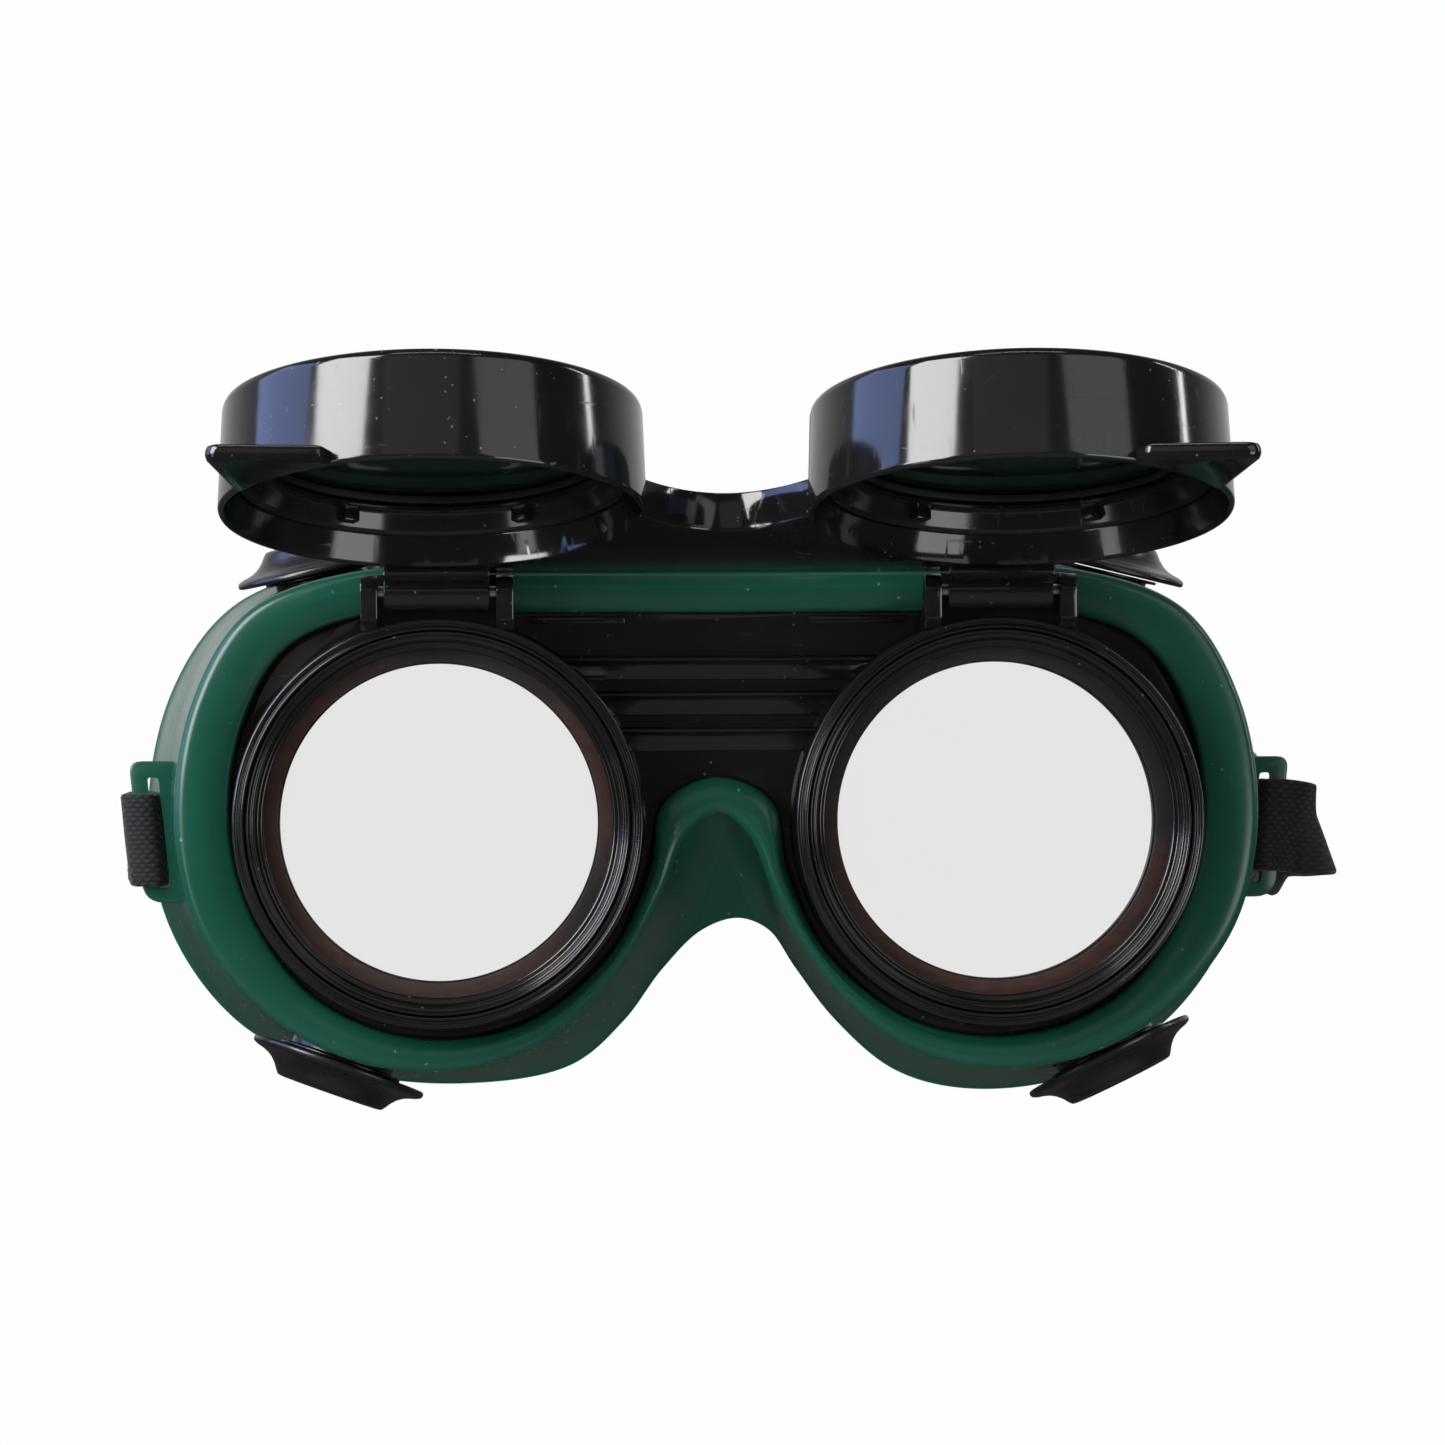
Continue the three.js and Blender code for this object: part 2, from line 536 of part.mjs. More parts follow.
// The band's points as { place, tilt }. A tilt, in degrees, leans the band's upper edge to the left.
function strapPoints() {
  const at = (x, y, z = STRAP_Z, tilt = 0) => ({ place: new THREE.Vector3(x, y, z), tilt });
  const slid = (layer) => (distance) => ({ place: onSlide(distance, layer), tilt: 0 });
  const earTilt = THREE.MathUtils.radToDeg(Math.atan(EAR_LEAN));
  const slotX = (SLOT_IN_X + SLOT_OUT_X) / 2 + lean(STRAP_Z);
  const tipX = EAR_TIP_X + lean(STRAP_Z) + GAP + STRAP_T / 2 + 0.2;
  const foldY = EAR_Y - GAP - STRAP_T / 2;
  const left = [
    at(-84.9, 60), at(-84.6, 50), at(-83.6, 42), at(-82.3, 36, STRAP_Z, earTilt / 2),
    at(-81.3, 33, STRAP_Z, earTilt), at(-slotX, 30.6, STRAP_Z, earTilt), at(-slotX, 28.6, STRAP_Z, earTilt),
    at(-slotX - 0.7, foldY + 0.2, STRAP_Z, earTilt), at(-slotX - 2, foldY - 0.1, STRAP_Z, earTilt),
    at(-tipX + 0.5, foldY + 0.5, STRAP_Z, earTilt), at(-tipX - 0.1, 29, STRAP_Z, earTilt),
    at(-tipX - 0.2, 34, STRAP_Z, earTilt), at(-86, 42, STRAP_Z, earTilt / 2), at(-86.6, 52),
    at(-86.6, 62, -3.2), at(-85.6, 74, -3.8), at(-83.2, 87, 2),
  ];
  const back = [
    at(-78.4, 102, 13), at(-70.5, 118, 24), at(-58, 134, 31.5), at(-41, 147, 35), at(-21, 154, 36.3),
    at(0, 156, 36.5), at(21, 154, 36.3), at(41, 147, 35), at(57.5, 134, 31.5), at(69.5, 119, 24.5),
  ];
  const inner = [42, 36, 24, 12, 0, -6].map(slid(0));
  const right = [
    at(84.9, 50), at(83.6, 42), at(82.3, 36, -2, -earTilt / 2), at(81.3, 33, SLOT_Z, -earTilt),
    at(slotX, 30.6, SLOT_Z, -earTilt), at(slotX, 28.6, SLOT_Z, -earTilt),
    at(slotX + 0.8, foldY + 0.2, SLOT_Z, -earTilt), at(slotX + 2.4, foldY - 0.2, SLOT_Z, -2),
    at(85.2, foldY - 0.3, -1.6, 6), at(87.4, foldY - 0.3, -2, 14), at(89, foldY + 0.4, -2.3, FOLD_TILT),
    at(89.6, 28.9, -2.4, FOLD_TILT), at(89.3, 34, -2.6, FOLD_TILT - 2), at(88.5, 42, STRAP_Z, 10),
    at(87.5, 51, -3.2, 4),
  ];
  const outer = [-6, 0, 12, 24, 36, 40].map(slid(1));
  return [...left, ...back, ...inner, ...right, ...outer];
}

// A flat band of the strap's width and thickness along a list of points.
function band(points, stepsPerPoint) {
  const curve = new THREE.CatmullRomCurve3(points.map(({ place }) => place), false, "centripetal");
  const rings = [];
  const steps = (points.length - 1) * stepsPerPoint;
  for (let i = 0; i <= steps; i++) {
    const middle = curve.getPoint(i / steps);
    const along = curve.getTangent(i / steps);
    const before = points[Math.floor(i / stepsPerPoint)].tilt;
    const after = points[Math.ceil(i / stepsPerPoint)].tilt;
    const share = (i % stepsPerPoint) / stepsPerPoint;
    const tilt = THREE.MathUtils.degToRad(THREE.MathUtils.lerp(before, after, share));
    const up = new THREE.Vector3(-Math.sin(tilt), 0, Math.cos(tilt));
    const across = up.addScaledVector(along, -up.dot(along)).normalize().multiplyScalar(STRAP_W / 2);
    const through = along.clone().cross(across).normalize().multiplyScalar(STRAP_T / 2);
    rings.push([[1, 1], [1, -1], [-1, -1], [-1, 1]].map(([a, b]) =>
      middle.clone().addScaledVector(across, a).addScaledVector(through, b)));
  }
  return lofted(rings, true);
}

// The buckle on the doubled band: a rail above and below it, two bars outside and one inside.
const SLIDER_L = 16;
const SLIDER_BAR = 1.6; // thickness and half width of a bar
const SLIDER_RAIL = 2;
const SLIDER_PLAY = 0.5; // between the buckle and the band
const SLIDER_AT = 18; // distance along the straight stretch
function sliderGeometry() {
  const half = STRAP_W / 2 + SLIDER_PLAY;
  const inside = -STRAP_T / 2 - SLIDER_PLAY;
  const outside = LAYER + STRAP_T / 2 + SLIDER_PLAY;
  const reach = half + SLIDER_RAIL / 2;
  const end = SLIDER_L / 2 - SLIDER_BAR;
  const rail = (side) => {
    const edges = [side * half, side * (half + SLIDER_RAIL)].sort((a, b) => a - b);
    return box(-SLIDER_L / 2, SLIDER_L / 2, inside - SLIDER_BAR, outside + SLIDER_BAR, ...edges);
  };
  const cross = (x, y) => box(x - SLIDER_BAR, x + SLIDER_BAR, y, y + SLIDER_BAR, -reach, reach);
  return joined([rail(-1), rail(1), cross(-end, outside), cross(end, outside), cross(0, inside - SLIDER_BAR)]);
}

// A vent's neck goes through the wall, with a collar inside the mask and a thin one outside it.
const VENT_COLLAR_R = 9;
function ventBaseGeometry() {
  return turned([
    [5, -5.2], [VENT_COLLAR_R, -5.2], [VENT_COLLAR_R, -4.2], [VENT_NECK_R, -4.2], [VENT_NECK_R, 0.4],
    [VENT_COLLAR_R, 0.5], [VENT_COLLAR_R, 0.9], [5, 0.9],
  ], VENT_SEGMENTS);
}

// The cap over it keeps light out: a wide brim that narrows in a hollow curve to a flat button.
function ventCapGeometry() {
  return turned([
    [0, 1.3], [VENT_R - 1, 1.3], [VENT_R - 0.4, 1], [VENT_R, 1.4], [VENT_R - 0.1, 2], [11.2, 2.5],
    [9.6, 3.4], [8.2, 5], [7.5, 5.5], [0, 5.5],
  ], VENT_SEGMENTS);
}

// Assembly
const goggles = new THREE.Group();
goggles.position.y = -SEAL_Y;

goggles.add(mesh("frame", frameGeometry(), GREEN_PVC));
goggles.add(mesh("cover_plate", coverPlateGeometry(), BLACK_PLASTIC));

for (const { side, s } of SIDES) {
  const lens = new THREE.Group();
  lens.position.x = s * LENS_X;
  lens.add(mesh(`lens_ring_${side}`, lensRingGeometry(), BLACK_PLASTIC));
  lens.add(mesh(`clear_lens_${side}`, disc(LENS_R, LENS_FRONT_Y, LENS_FRONT_Y + LENS_T), CLEAR_GLASS));
  const gasket = washer(GASKET_R, LENS_R, GASKET_BACK_Y - GASKET_T, GASKET_BACK_Y);
  lens.add(mesh(`fibre_gasket_${side}`, gasket, RED_FIBRE));
  goggles.add(lens);
}

const SPATTER_T = 1; // thickness of the clear cover lens in a cup
const SHADE_T = 2.8; // and of the dark lens behind it
const WASHER_T = 1; // and of the washer behind that
const flip = new THREE.Group();
flip.position.set(0, HINGE_Y, HINGE_Z);
flip.rotation.x = THREE.MathUtils.degToRad(-OPEN_ANGLE);
flip.add(mesh("flip_front", flipFrontGeometry(), BLACK_PLASTIC));
for (const { side, s } of SIDES) {
  const cup = new THREE.Group();
  const seat = RIM_Y - CUP_H + FLANGE_T + GAP;
  const behind = seat + SPATTER_T + GAP;
  cup.position.set(s * LENS_X, 0, -CUP_DROP);
  cup.add(mesh(`spatter_lens_${side}`, disc(LENS_R, seat, seat + SPATTER_T), CLEAR_GLASS));
  cup.add(mesh(`shade_lens_${side}`, disc(LENS_R, behind, behind + SHADE_T), DARK_GLASS));
  const gasket = washer(GASKET_R, LENS_R, behind + SHADE_T + GAP, behind + SHADE_T + GAP + WASHER_T);
  cup.add(mesh(`shade_gasket_${side}`, gasket, BLACK_RUBBER));
  cup.add(mesh(`shade_ring_${side}`, shadeRingGeometry(), BLACK_PLASTIC));
  flip.add(cup);
}
goggles.add(flip);

for (const { side, s } of SIDES) {
  const length = 2 * KNUCKLE_X + KNUCKLE_T - 2 * PIN_SHORT;
  const pin = new THREE.CylinderGeometry(PIN_R, PIN_R, length, 12).rotateZ(Math.PI / 2);
  const made = mesh(`hinge_pin_${side}`, pin, STEEL);
  made.position.set(s * LENS_X, HINGE_Y, HINGE_Z);
  goggles.add(made);
}

for (const { name, key, depth } of VENTS) {
  const vent = seatOnWall(new THREE.Group(), key, depth);
  vent.add(mesh(`vent_base_${name}`, ventBaseGeometry(), BLACK_RUBBER));
  vent.add(mesh(`vent_cap_${name}`, ventCapGeometry(), BLACK_RUBBER));
  goggles.add(vent);
}

goggles.add(mesh("strap", band(strapPoints(), 2), BLACK_ELASTIC));

const slider = mesh("strap_slider", sliderGeometry(), BLACK_PLASTIC);
slider.position.copy(onSlide(SLIDER_AT, 0));
const slideAcross = new THREE.Vector3().crossVectors(SLIDE_ALONG, SLIDE_OUT);
slider.quaternion.setFromRotationMatrix(new THREE.Matrix4().makeBasis(SLIDE_ALONG, SLIDE_OUT, slideAcross));
goggles.add(slider);

export default goggles;
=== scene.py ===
"""Welding goggles with a lift-up front: the looks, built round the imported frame.

Shapes are drawn in millimetres round the lens plane, as the model is: x to the right in a front
view, y back towards the face, z up, with y = 0 and z = 0 through the lens centres. The front is
drawn closed round its hinge axis. place() moves a shape to the frame, in metres.
"""

import math

import bmesh
import bpy
import numpy as np
from mathutils import Matrix, Vector


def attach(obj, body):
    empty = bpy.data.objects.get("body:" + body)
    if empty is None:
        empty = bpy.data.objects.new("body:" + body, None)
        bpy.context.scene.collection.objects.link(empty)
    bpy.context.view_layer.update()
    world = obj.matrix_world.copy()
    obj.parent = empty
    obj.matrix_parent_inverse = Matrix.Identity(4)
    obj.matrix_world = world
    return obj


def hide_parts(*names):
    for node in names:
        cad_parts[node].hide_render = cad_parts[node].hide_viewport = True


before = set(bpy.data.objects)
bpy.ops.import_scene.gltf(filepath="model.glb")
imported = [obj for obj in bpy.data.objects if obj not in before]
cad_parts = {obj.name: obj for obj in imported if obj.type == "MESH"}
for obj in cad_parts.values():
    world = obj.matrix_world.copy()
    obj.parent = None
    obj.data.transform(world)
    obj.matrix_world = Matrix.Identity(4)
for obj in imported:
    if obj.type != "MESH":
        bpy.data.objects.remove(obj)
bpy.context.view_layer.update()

MM = 0.001
SEAL_Y = 40
LENS_R, LENS_X, SIGHT_R = 25, 39.5, 22.5
GASKET_R = SIGHT_R + 0.2
GAP = 0.3  # clearance between pieces that touch
SUNK = 0.5  # how far a joined piece reaches into the one it stands on
HINGE_Y, HINGE_Z, OPEN_ANGLE = -5, 32.4, 102.7
SIDES = (("left", -1), ("right", 1))


# Camera: level with the upper part of the lenses, a little to the left of the middle.
def make_camera():
    aim = Vector((0.6, -SEAL_Y, 14)) * MM
    distance = 720 * MM
    yaw, roll = math.radians(2.2), math.radians(-0.25)
    data = bpy.data.cameras.new("camera")
    data.lens, data.sensor_width = 127, 36
    camera = bpy.data.objects.new("camera", data)
    bpy.context.scene.collection.objects.link(camera)
    ahead = Vector((math.sin(yaw), math.cos(yaw), 0))
    level = Matrix.Rotation(-yaw, 4, "Z") @ Matrix.Rotation(math.pi / 2, 4, "X")
    camera.matrix_world = Matrix.Translation(aim - ahead * distance) @ level @ Matrix.Rotation(roll, 4, "Z")
    bpy.context.scene.camera = camera


make_camera()


# Outlines and curves
CORNER_STEPS = 3


def rounded(outline, radius, closed=True):
    """The outline with each corner rounded, as far as its two sides allow."""
    points = [np.array(p, float) for p in outline]
    made = []
    for i, corner in enumerate(points):
        if not closed and i in (0, len(points) - 1):
            made.append(corner)
            continue
        to_last = points[i - 1] - corner
        to_next = points[(i + 1) % len(points)] - corner
        lengths = np.linalg.norm(to_last), np.linalg.norm(to_next)
        reach = min(radius, 0.45 * lengths[0], 0.45 * lengths[1])
        start = corner + to_last / lengths[0] * reach
        end = corner + to_next / lengths[1] * reach
        for t in np.linspace(0, 1, CORNER_STEPS + 1):
            made.append((1 - t) ** 2 * start + 2 * t * (1 - t) * corner + t * t * end)
    return np.array(made)


def curve_point(p0, p1, p2, p3, t):
    """A point between p1 and p2 of a centripetal Catmull-Rom curve."""
    d0, d1, d2 = (math.sqrt(np.linalg.norm(b - a)) for a, b in ((p0, p1), (p1, p2), (p2, p3)))
    start = d1 * ((p1 - p0) / d0 - (p2 - p0) / (d0 + d1) + (p2 - p1) / d1)
    end = d1 * ((p2 - p1) / d1 - (p3 - p1) / (d1 + d2) + (p3 - p2) / d2)
    bend = 3 * (p2 - p1) - 2 * start - end
    return p1 + start * t + bend * t * t + (2 * (p1 - p2) + start + end) * t ** 3


def closed_curve(points):
    points = [np.array(p, float) for p in points]
    count = len(points)

    def at(key):
        i = math.floor(key)
        return curve_point(*(points[(i + k) % count] for k in (-1, 0, 1, 2)), key - i)
    return at


def open_curve(points):
    points = [np.array(p, float) for p in points]
    points = [2 * points[0] - points[1], *points, 2 * points[-1] - points[-2]]

    def at(key):
        i = min(math.floor(key), len(points) - 4)
        return curve_point(*points[i:i + 4], key - i)
    return at


def bowed(start, middle, end, steps=8):
    """A quadratic curve from start to end, pulled towards middle, without its first point."""
    a, b, c = (np.array(p, float) for p in (start, middle, end))
    return [(1 - t) ** 2 * a + 2 * t * (1 - t) * b + t * t * c for t in np.linspace(0, 1, steps + 1)[1:]]


# Solids
def solid(points, faces):
    """A mesh object with its faces pointing out."""
    mesh = bpy.data.meshes.new("solid")
    mesh.from_pydata([tuple(p) for p in points], [], faces)
    work = bmesh.new()
    work.from_mesh(mesh)
    bmesh.ops.recalc_face_normals(work, faces=work.faces)
    work.to_mesh(mesh)
    work.free()
    made = bpy.data.objects.new("solid", mesh)
    bpy.context.scene.collection.objects.link(made)
    return made


def lofted(rings, capped=True):
    """A closed skin over rings of points. Without caps its last ring joins its first."""
    size, count = len(rings[0]), len(rings)
    spans = count - 1 if capped else count
    faces = []
    for i in range(spans):
        a, b = i * size, (i + 1) % count * size
        faces += [(a + j, a + (j + 1) % size, b + (j + 1) % size, b + j) for j in range(size)]
    if capped:
        faces += [tuple(range(size)), tuple(range((count - 1) * size, count * size))]
    return solid(np.concatenate(rings), faces)


def ring_outline(inner, outer, y0, y1):
    """The outline, to be turned, of a disc or of a washer."""
    return [(inner, y0), (outer, y0), (outer, y1), (inner, y1)]


def turned(outline, segments=128, radius=0.2):
    """A solid turned about the y axis from [radius, y] points. An outline that starts and ends on
    the axis is open there."""
    on_axis = outline[0][0] == 0
    profile = rounded(outline, radius, closed=not on_axis)
    angles = np.arange(segments) * 2 * math.pi / segments
    count = len(profile)
    points = [(r * math.cos(a), y, r * math.sin(a)) for a in angles for r, y in profile]
    faces = []
    for i in range(segments):
        a, b = i * count, (i + 1) % segments * count
        spans = range(1, count - 2) if on_axis else range(count)
        faces += [(a + j, a + (j + 1) % count, b + (j + 1) % count, b + j) for j in spans]
    if on_axis:
        for pole, rim in ((0, 1), (count - 1, count - 2)):
            faces += [(pole, i * count + rim, (i + 1) % segments * count + rim) for i in range(segments)]
    made = solid(points, faces)
    drop_loose(made)
    return made


def drop_loose(thing):
    """Removes the points that belong to no face."""
    work = bmesh.new()
    work.from_mesh(thing.data)
    bmesh.ops.delete(work, geom=[v for v in work.verts if not v.link_faces], context="VERTS")
    work.to_mesh(thing.data)
    work.free()


BEVEL_STEPS, SHARP_ANGLE = 2, 35


def bevelled(thing, width):
    """Rounds the sharp edges of a solid."""
    work = bmesh.new()
    work.from_mesh(thing.data)
    bmesh.ops.remove_doubles(work, verts=work.verts, dist=1e-4)
    limit = math.radians(SHARP_ANGLE)
    sharp = [e for e in work.edges if len(e.link_faces) == 2 and e.calc_face_angle(0) > limit]
    bmesh.ops.bevel(work, geom=sharp, offset=width, segments=BEVEL_STEPS, profile=0.5, affect="EDGES",
                    clamp_overlap=True)
    work.to_mesh(thing.data)
    work.free()
    return thing


def plate(outline, y0, y1, bevel=0.25):
    """A plate from y0 to y1 with an outline of [x, z] points."""
    rings = [[(x, y, z) for x, z in outline] for y in (y0, y1)]
    return bevelled(lofted(rings), bevel) if bevel else lofted(rings)


def bar(outline, x0, x1, bevel=0.2):
    """A bar from x0 to x1 with a section of [y, z] points."""
    rings = [[(x, y, z) for y, z in outline] for x in (x0, x1)]
    return bevelled(lofted(rings), bevel) if bevel else lofted(rings)


def block(x0, x1, y0, y1, z0, z1, bevel=0.25):
    """A box between two corners, with rounded edges."""
    return bar([(y0, z0), (y1, z0), (y1, z1), (y0, z1)], x0, x1, bevel)


def rod(radius, x0, x1, segments=48, bevel=0.2):
    """A round rod along x, through y = 0 and z = 0."""
    outline = [(0, x0), (radius, x0), (radius, x1), (0, x1)]
    made = turned(outline, segments, bevel)
    made.data.transform(Matrix.Rotation(-math.pi / 2, 4, "Z"))
    return made


def moved(thing, x=0, y=0, z=0, turn=None):
    thing.data.transform(Matrix.Translation((x, y, z)) @ (turn or Matrix()))
    return thing


def combined(base, parts=(), cuts=()):
    """base with the parts added and the cuts taken away. The parts are used up."""
    for operation, others in (("UNION", parts), ("DIFFERENCE", cuts)):
        for other in others:
            step = base.modifiers.new("join", "BOOLEAN")
            step.object, step.operation, step.solver = other, operation, "MANIFOLD"
            seen = base.evaluated_get(bpy.context.evaluated_depsgraph_get())
            made = bpy.data.meshes.new_from_object(seen)
            base.modifiers.clear()
            base.data = made
            bpy.data.objects.remove(other)
    return base


def together(things):
    """One object with the separate solids of several."""
    base, *others = things
    work = bmesh.new()
    work.from_mesh(base.data)
    for other in others:
        work.from_mesh(other.data)
        bpy.data.objects.remove(other)
    work.to_mesh(base.data)
    work.free()
    return base


TO_FRAME = Matrix.Diagonal((MM, MM, MM, 1)) @ Matrix.Translation((0, -SEAL_Y, 0))
LIFTED = Matrix.Translation((0, HINGE_Y, HINGE_Z)) @ Matrix.Rotation(math.radians(-OPEN_ANGLE), 4, "X")


def place(thing, name, body, material, nodes, lift=False, angle=32):
    """Turns a finished solid into a named piece in the frame, which stands for CAD nodes."""
    thing.data.transform(TO_FRAME @ LIFTED if lift else TO_FRAME)
    thing.name = thing.data.name = name
    thing.data.shade_smooth()
    thing.data.set_sharp_from_angle(angle=math.radians(angle))
    thing.data.materials.clear()
    thing.data.materials.append(material)
    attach(thing, body)
    if nodes:
        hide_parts(*nodes)
    return thing


# Materials
class Graph:
    """A material's nodes. Its shader's fixed values are set on the shader itself."""

    def __init__(self, name, **fixed):
        self.material = bpy.data.materials.new(name)
        self.material.use_nodes = True
        self.tree = self.material.node_tree
        self.shader = self.tree.nodes["Principled BSDF"]
        self.where = self.add("ShaderNodeTexCoord").outputs["Object"]
        for socket, value in fixed.items():
            self.shader.inputs[socket.replace("_", " ")].default_value = value

    def add(self, kind, inputs=None, **settings):
        made = self.tree.nodes.new(kind)
        for key, value in settings.items():
            setattr(made, key, value)
        for key, value in (inputs or {}).items():
            self.join(value, made.inputs[key])
        return made

    def join(self, value, socket):
        if isinstance(value, bpy.types.NodeSocket):
            self.tree.links.new(value, socket)
        else:
            socket.default_value = value

    def noise(self, scale, detail=4, rough=0.5, where=None):
        made = self.add("ShaderNodeTexNoise", {"Scale": scale, "Detail": detail, "Roughness": rough})
        self.join(where or self.where, made.inputs["Vector"])
        return made.outputs["Fac"]

    def stretched(self, x, y, z):
        made = self.add("ShaderNodeMapping", {"Vector": self.where, "Scale": (x, y, z)})
        return made.outputs["Vector"]

    def between(self, value, low, high, out_low=0.0, out_high=1.0):
        """value's range low to high, spread over out_low to out_high."""
        made = self.add("ShaderNodeMapRange", {"Value": value, "From Min": low, "From Max": high,
                                               "To Min": out_low, "To Max": out_high})
        return made.outputs["Result"]

    def math(self, operation, a, b=0.0):
        return self.add("ShaderNodeMath", {0: a, 1: b}, operation=operation).outputs[0]

    def blend(self, share, a, b):
        made = self.add("ShaderNodeMix", data_type="RGBA")
        for socket, value in ((0, share), (6, a), (7, b)):
            self.join(value, made.inputs[socket])
        return made.outputs[2]

    def specks(self, scale, size, share):
        """Small irregular flecks, in a share of the cells of a 3-D grid of the given scale."""
        warp = self.add("ShaderNodeTexNoise", {"Vector": self.where, "Scale": scale * 3.0, "Detail": 3})
        middle = (0.5, 0.5, 0.5)
        push = self.add("ShaderNodeVectorMath", {0: warp.outputs["Color"], 1: middle}, operation="SUBTRACT")
        push = self.add("ShaderNodeVectorMath", {0: push.outputs[0], 3: 0.5 / scale}, operation="SCALE")
        spot = self.add("ShaderNodeVectorMath", {0: self.where, 1: push.outputs[0]}, operation="ADD")
        cells = self.add("ShaderNodeTexVoronoi", {"Vector": spot.outputs[0], "Scale": scale})
        pick = self.add("ShaderNodeSeparateColor", {0: cells.outputs["Color"]})
        chosen = self.math("GREATER_THAN", pick.outputs[0], 1 - share)
        near = self.between(cells.outputs["Distance"], size, size * 0.6)
        return self.math("MULTIPLY", chosen, near)

    def scratches(self):
        """Thin hairlines in three directions."""
        lines = None
        for x, y, z in ((1, 14, 1.4), (13, 1, 1.2), (1.3, 1, 12)):
            grain = self.noise(90, 6, 0.6, self.stretched(x, y, z))
            line = self.between(grain, 0.66, 0.71)
            lines = line if lines is None else self.math("MAXIMUM", lines, line)
        return lines

    def bump(self, height, strength, distance, under=None):
        made = self.add("ShaderNodeBump", {"Height": height, "Strength": strength, "Distance": distance})
        if under:
            self.join(under, made.inputs["Normal"])
        return made.outputs["Normal"]

    def finish(self, color=None, rough=None, normal=None):
        for socket, value in (("Base Color", color), ("Roughness", rough), ("Normal", normal)):
            if value is not None:
                self.join(value, self.shader.inputs[socket])
        return self.material


def green_pvc():
    """Glossy soft vinyl: slightly cloudy colour, a faint skin of flow marks and fine dust."""
    g = Graph("green_pvc", Subsurface_Weight=0.12, Subsurface_Scale=0.002,
              Subsurface_Radius=(0.15, 1.0, 0.55), IOR=1.42)
    cloud = g.noise(26, 5, 0.55)
    color = g.blend(g.between(cloud, 0.3, 0.7), (0.0034, 0.043, 0.026, 1), (0.0050, 0.055, 0.034, 1))
    dust = g.specks(700, 0.16, 0.06)
    color = g.blend(g.math("MULTIPLY", dust, 0.3), color, (0.25, 0.33, 0.30, 1))
    rough = g.between(g.noise(70, 6, 0.6), 0.3, 0.75, 0.2, 0.3)
    rough = g.math("ADD", rough, g.math("MULTIPLY", dust, 0.4))
    flow = g.bump(g.noise(30, 2, 0.4), 0.04, 0.0004)
    return g.finish(color, rough, g.bump(g.noise(900, 3, 0.6), 0.04, 0.00003, flow))


def black_plastic(name="black_plastic", dusty=0.07, rough=0.1):
    """Polished moulded plastic with hairline scratches, dust and small knocks."""
    g = Graph(name, IOR=1.5)
    cloud = g.noise(35, 5, 0.6)
    color = g.blend(g.between(cloud, 0.3, 0.7), (0.0040, 0.0038, 0.0038, 1), (0.0072, 0.0068, 0.0068, 1))
    dust = g.specks(520, 0.13, dusty)
    flecks = g.specks(1100, 0.2, dusty)
    patchy = g.between(g.noise(45, 4, 0.6), 0.42, 0.72)
    dirt = g.math("MAXIMUM", g.math("MULTIPLY", dust, 0.35), g.math("MULTIPLY", flecks, 0.3))
    dirt = g.math("MULTIPLY", dirt, patchy)
    color = g.blend(dirt, color, (0.42, 0.40, 0.38, 1))
    lines = g.scratches()
    shine = g.between(g.noise(55, 7, 0.65), 0.35, 0.75, rough, rough + 0.1)
    shine = g.math("ADD", shine, g.math("MULTIPLY", lines, 0.16))
    shine = g.math("ADD", shine, g.math("MULTIPLY", dirt, 0.6))
    worn = g.bump(lines, 0.08, 0.00005)
    return g.finish(color, shine, g.bump(g.noise(60, 3, 0.5), 0.06, 0.0006, worn))


def vent_plastic():
    """Satin black moulding, greyed where it is rubbed."""
    g = Graph("vent_plastic", IOR=1.48)
    cloud = g.noise(60, 6, 0.6)
    color = g.blend(g.between(cloud, 0.35, 0.75), (0.0042, 0.0041, 0.0046, 1), (0.0085, 0.0083, 0.009, 1))
    dust = g.specks(300, 0.11, 0.07)
    color = g.blend(g.math("MULTIPLY", dust, 0.35), color, (0.3, 0.3, 0.3, 1))
    rough = g.between(g.noise(120, 5, 0.6), 0.3, 0.7, 0.2, 0.34)
    return g.finish(color, rough, g.bump(g.noise(1400, 3, 0.6), 0.18, 0.00008))


def clear_glass():
    """Clear glass, drawn as a thin see-through skin, with faint smears."""
    g = Graph("clear_glass", Alpha=0.115, IOR=1.5)
    smear = g.noise(40, 6, 0.6, g.stretched(1, 1, 2.5))
    color = g.blend(g.between(smear, 0.35, 0.7), (0.03, 0.03, 0.028, 1), (0.06, 0.062, 0.058, 1))
    rough = g.between(smear, 0.4, 0.75, 0.02, 0.07)
    return g.finish(color, rough, g.bump(g.noise(25, 2, 0.5), 0.02, 0.0005))


def dark_glass():
    """Dark green filter glass with a few smears and specks of dust."""
    g = Graph("dark_glass", Alpha=0.985, IOR=1.52)
    smear = g.noise(30, 6, 0.6)
    color = g.blend(g.between(smear, 0.3, 0.7), (0.0022, 0.0085, 0.005, 1), (0.003, 0.011, 0.0065, 1))
    dust = g.specks(240, 0.08, 0.05)
    color = g.blend(g.math("MULTIPLY", dust, 0.4), color, (0.3, 0.32, 0.3, 1))
    rough = g.between(smear, 0.4, 0.75, 0.03, 0.09)
    return g.finish(color, rough, g.bump(smear, 0.02, 0.0003))


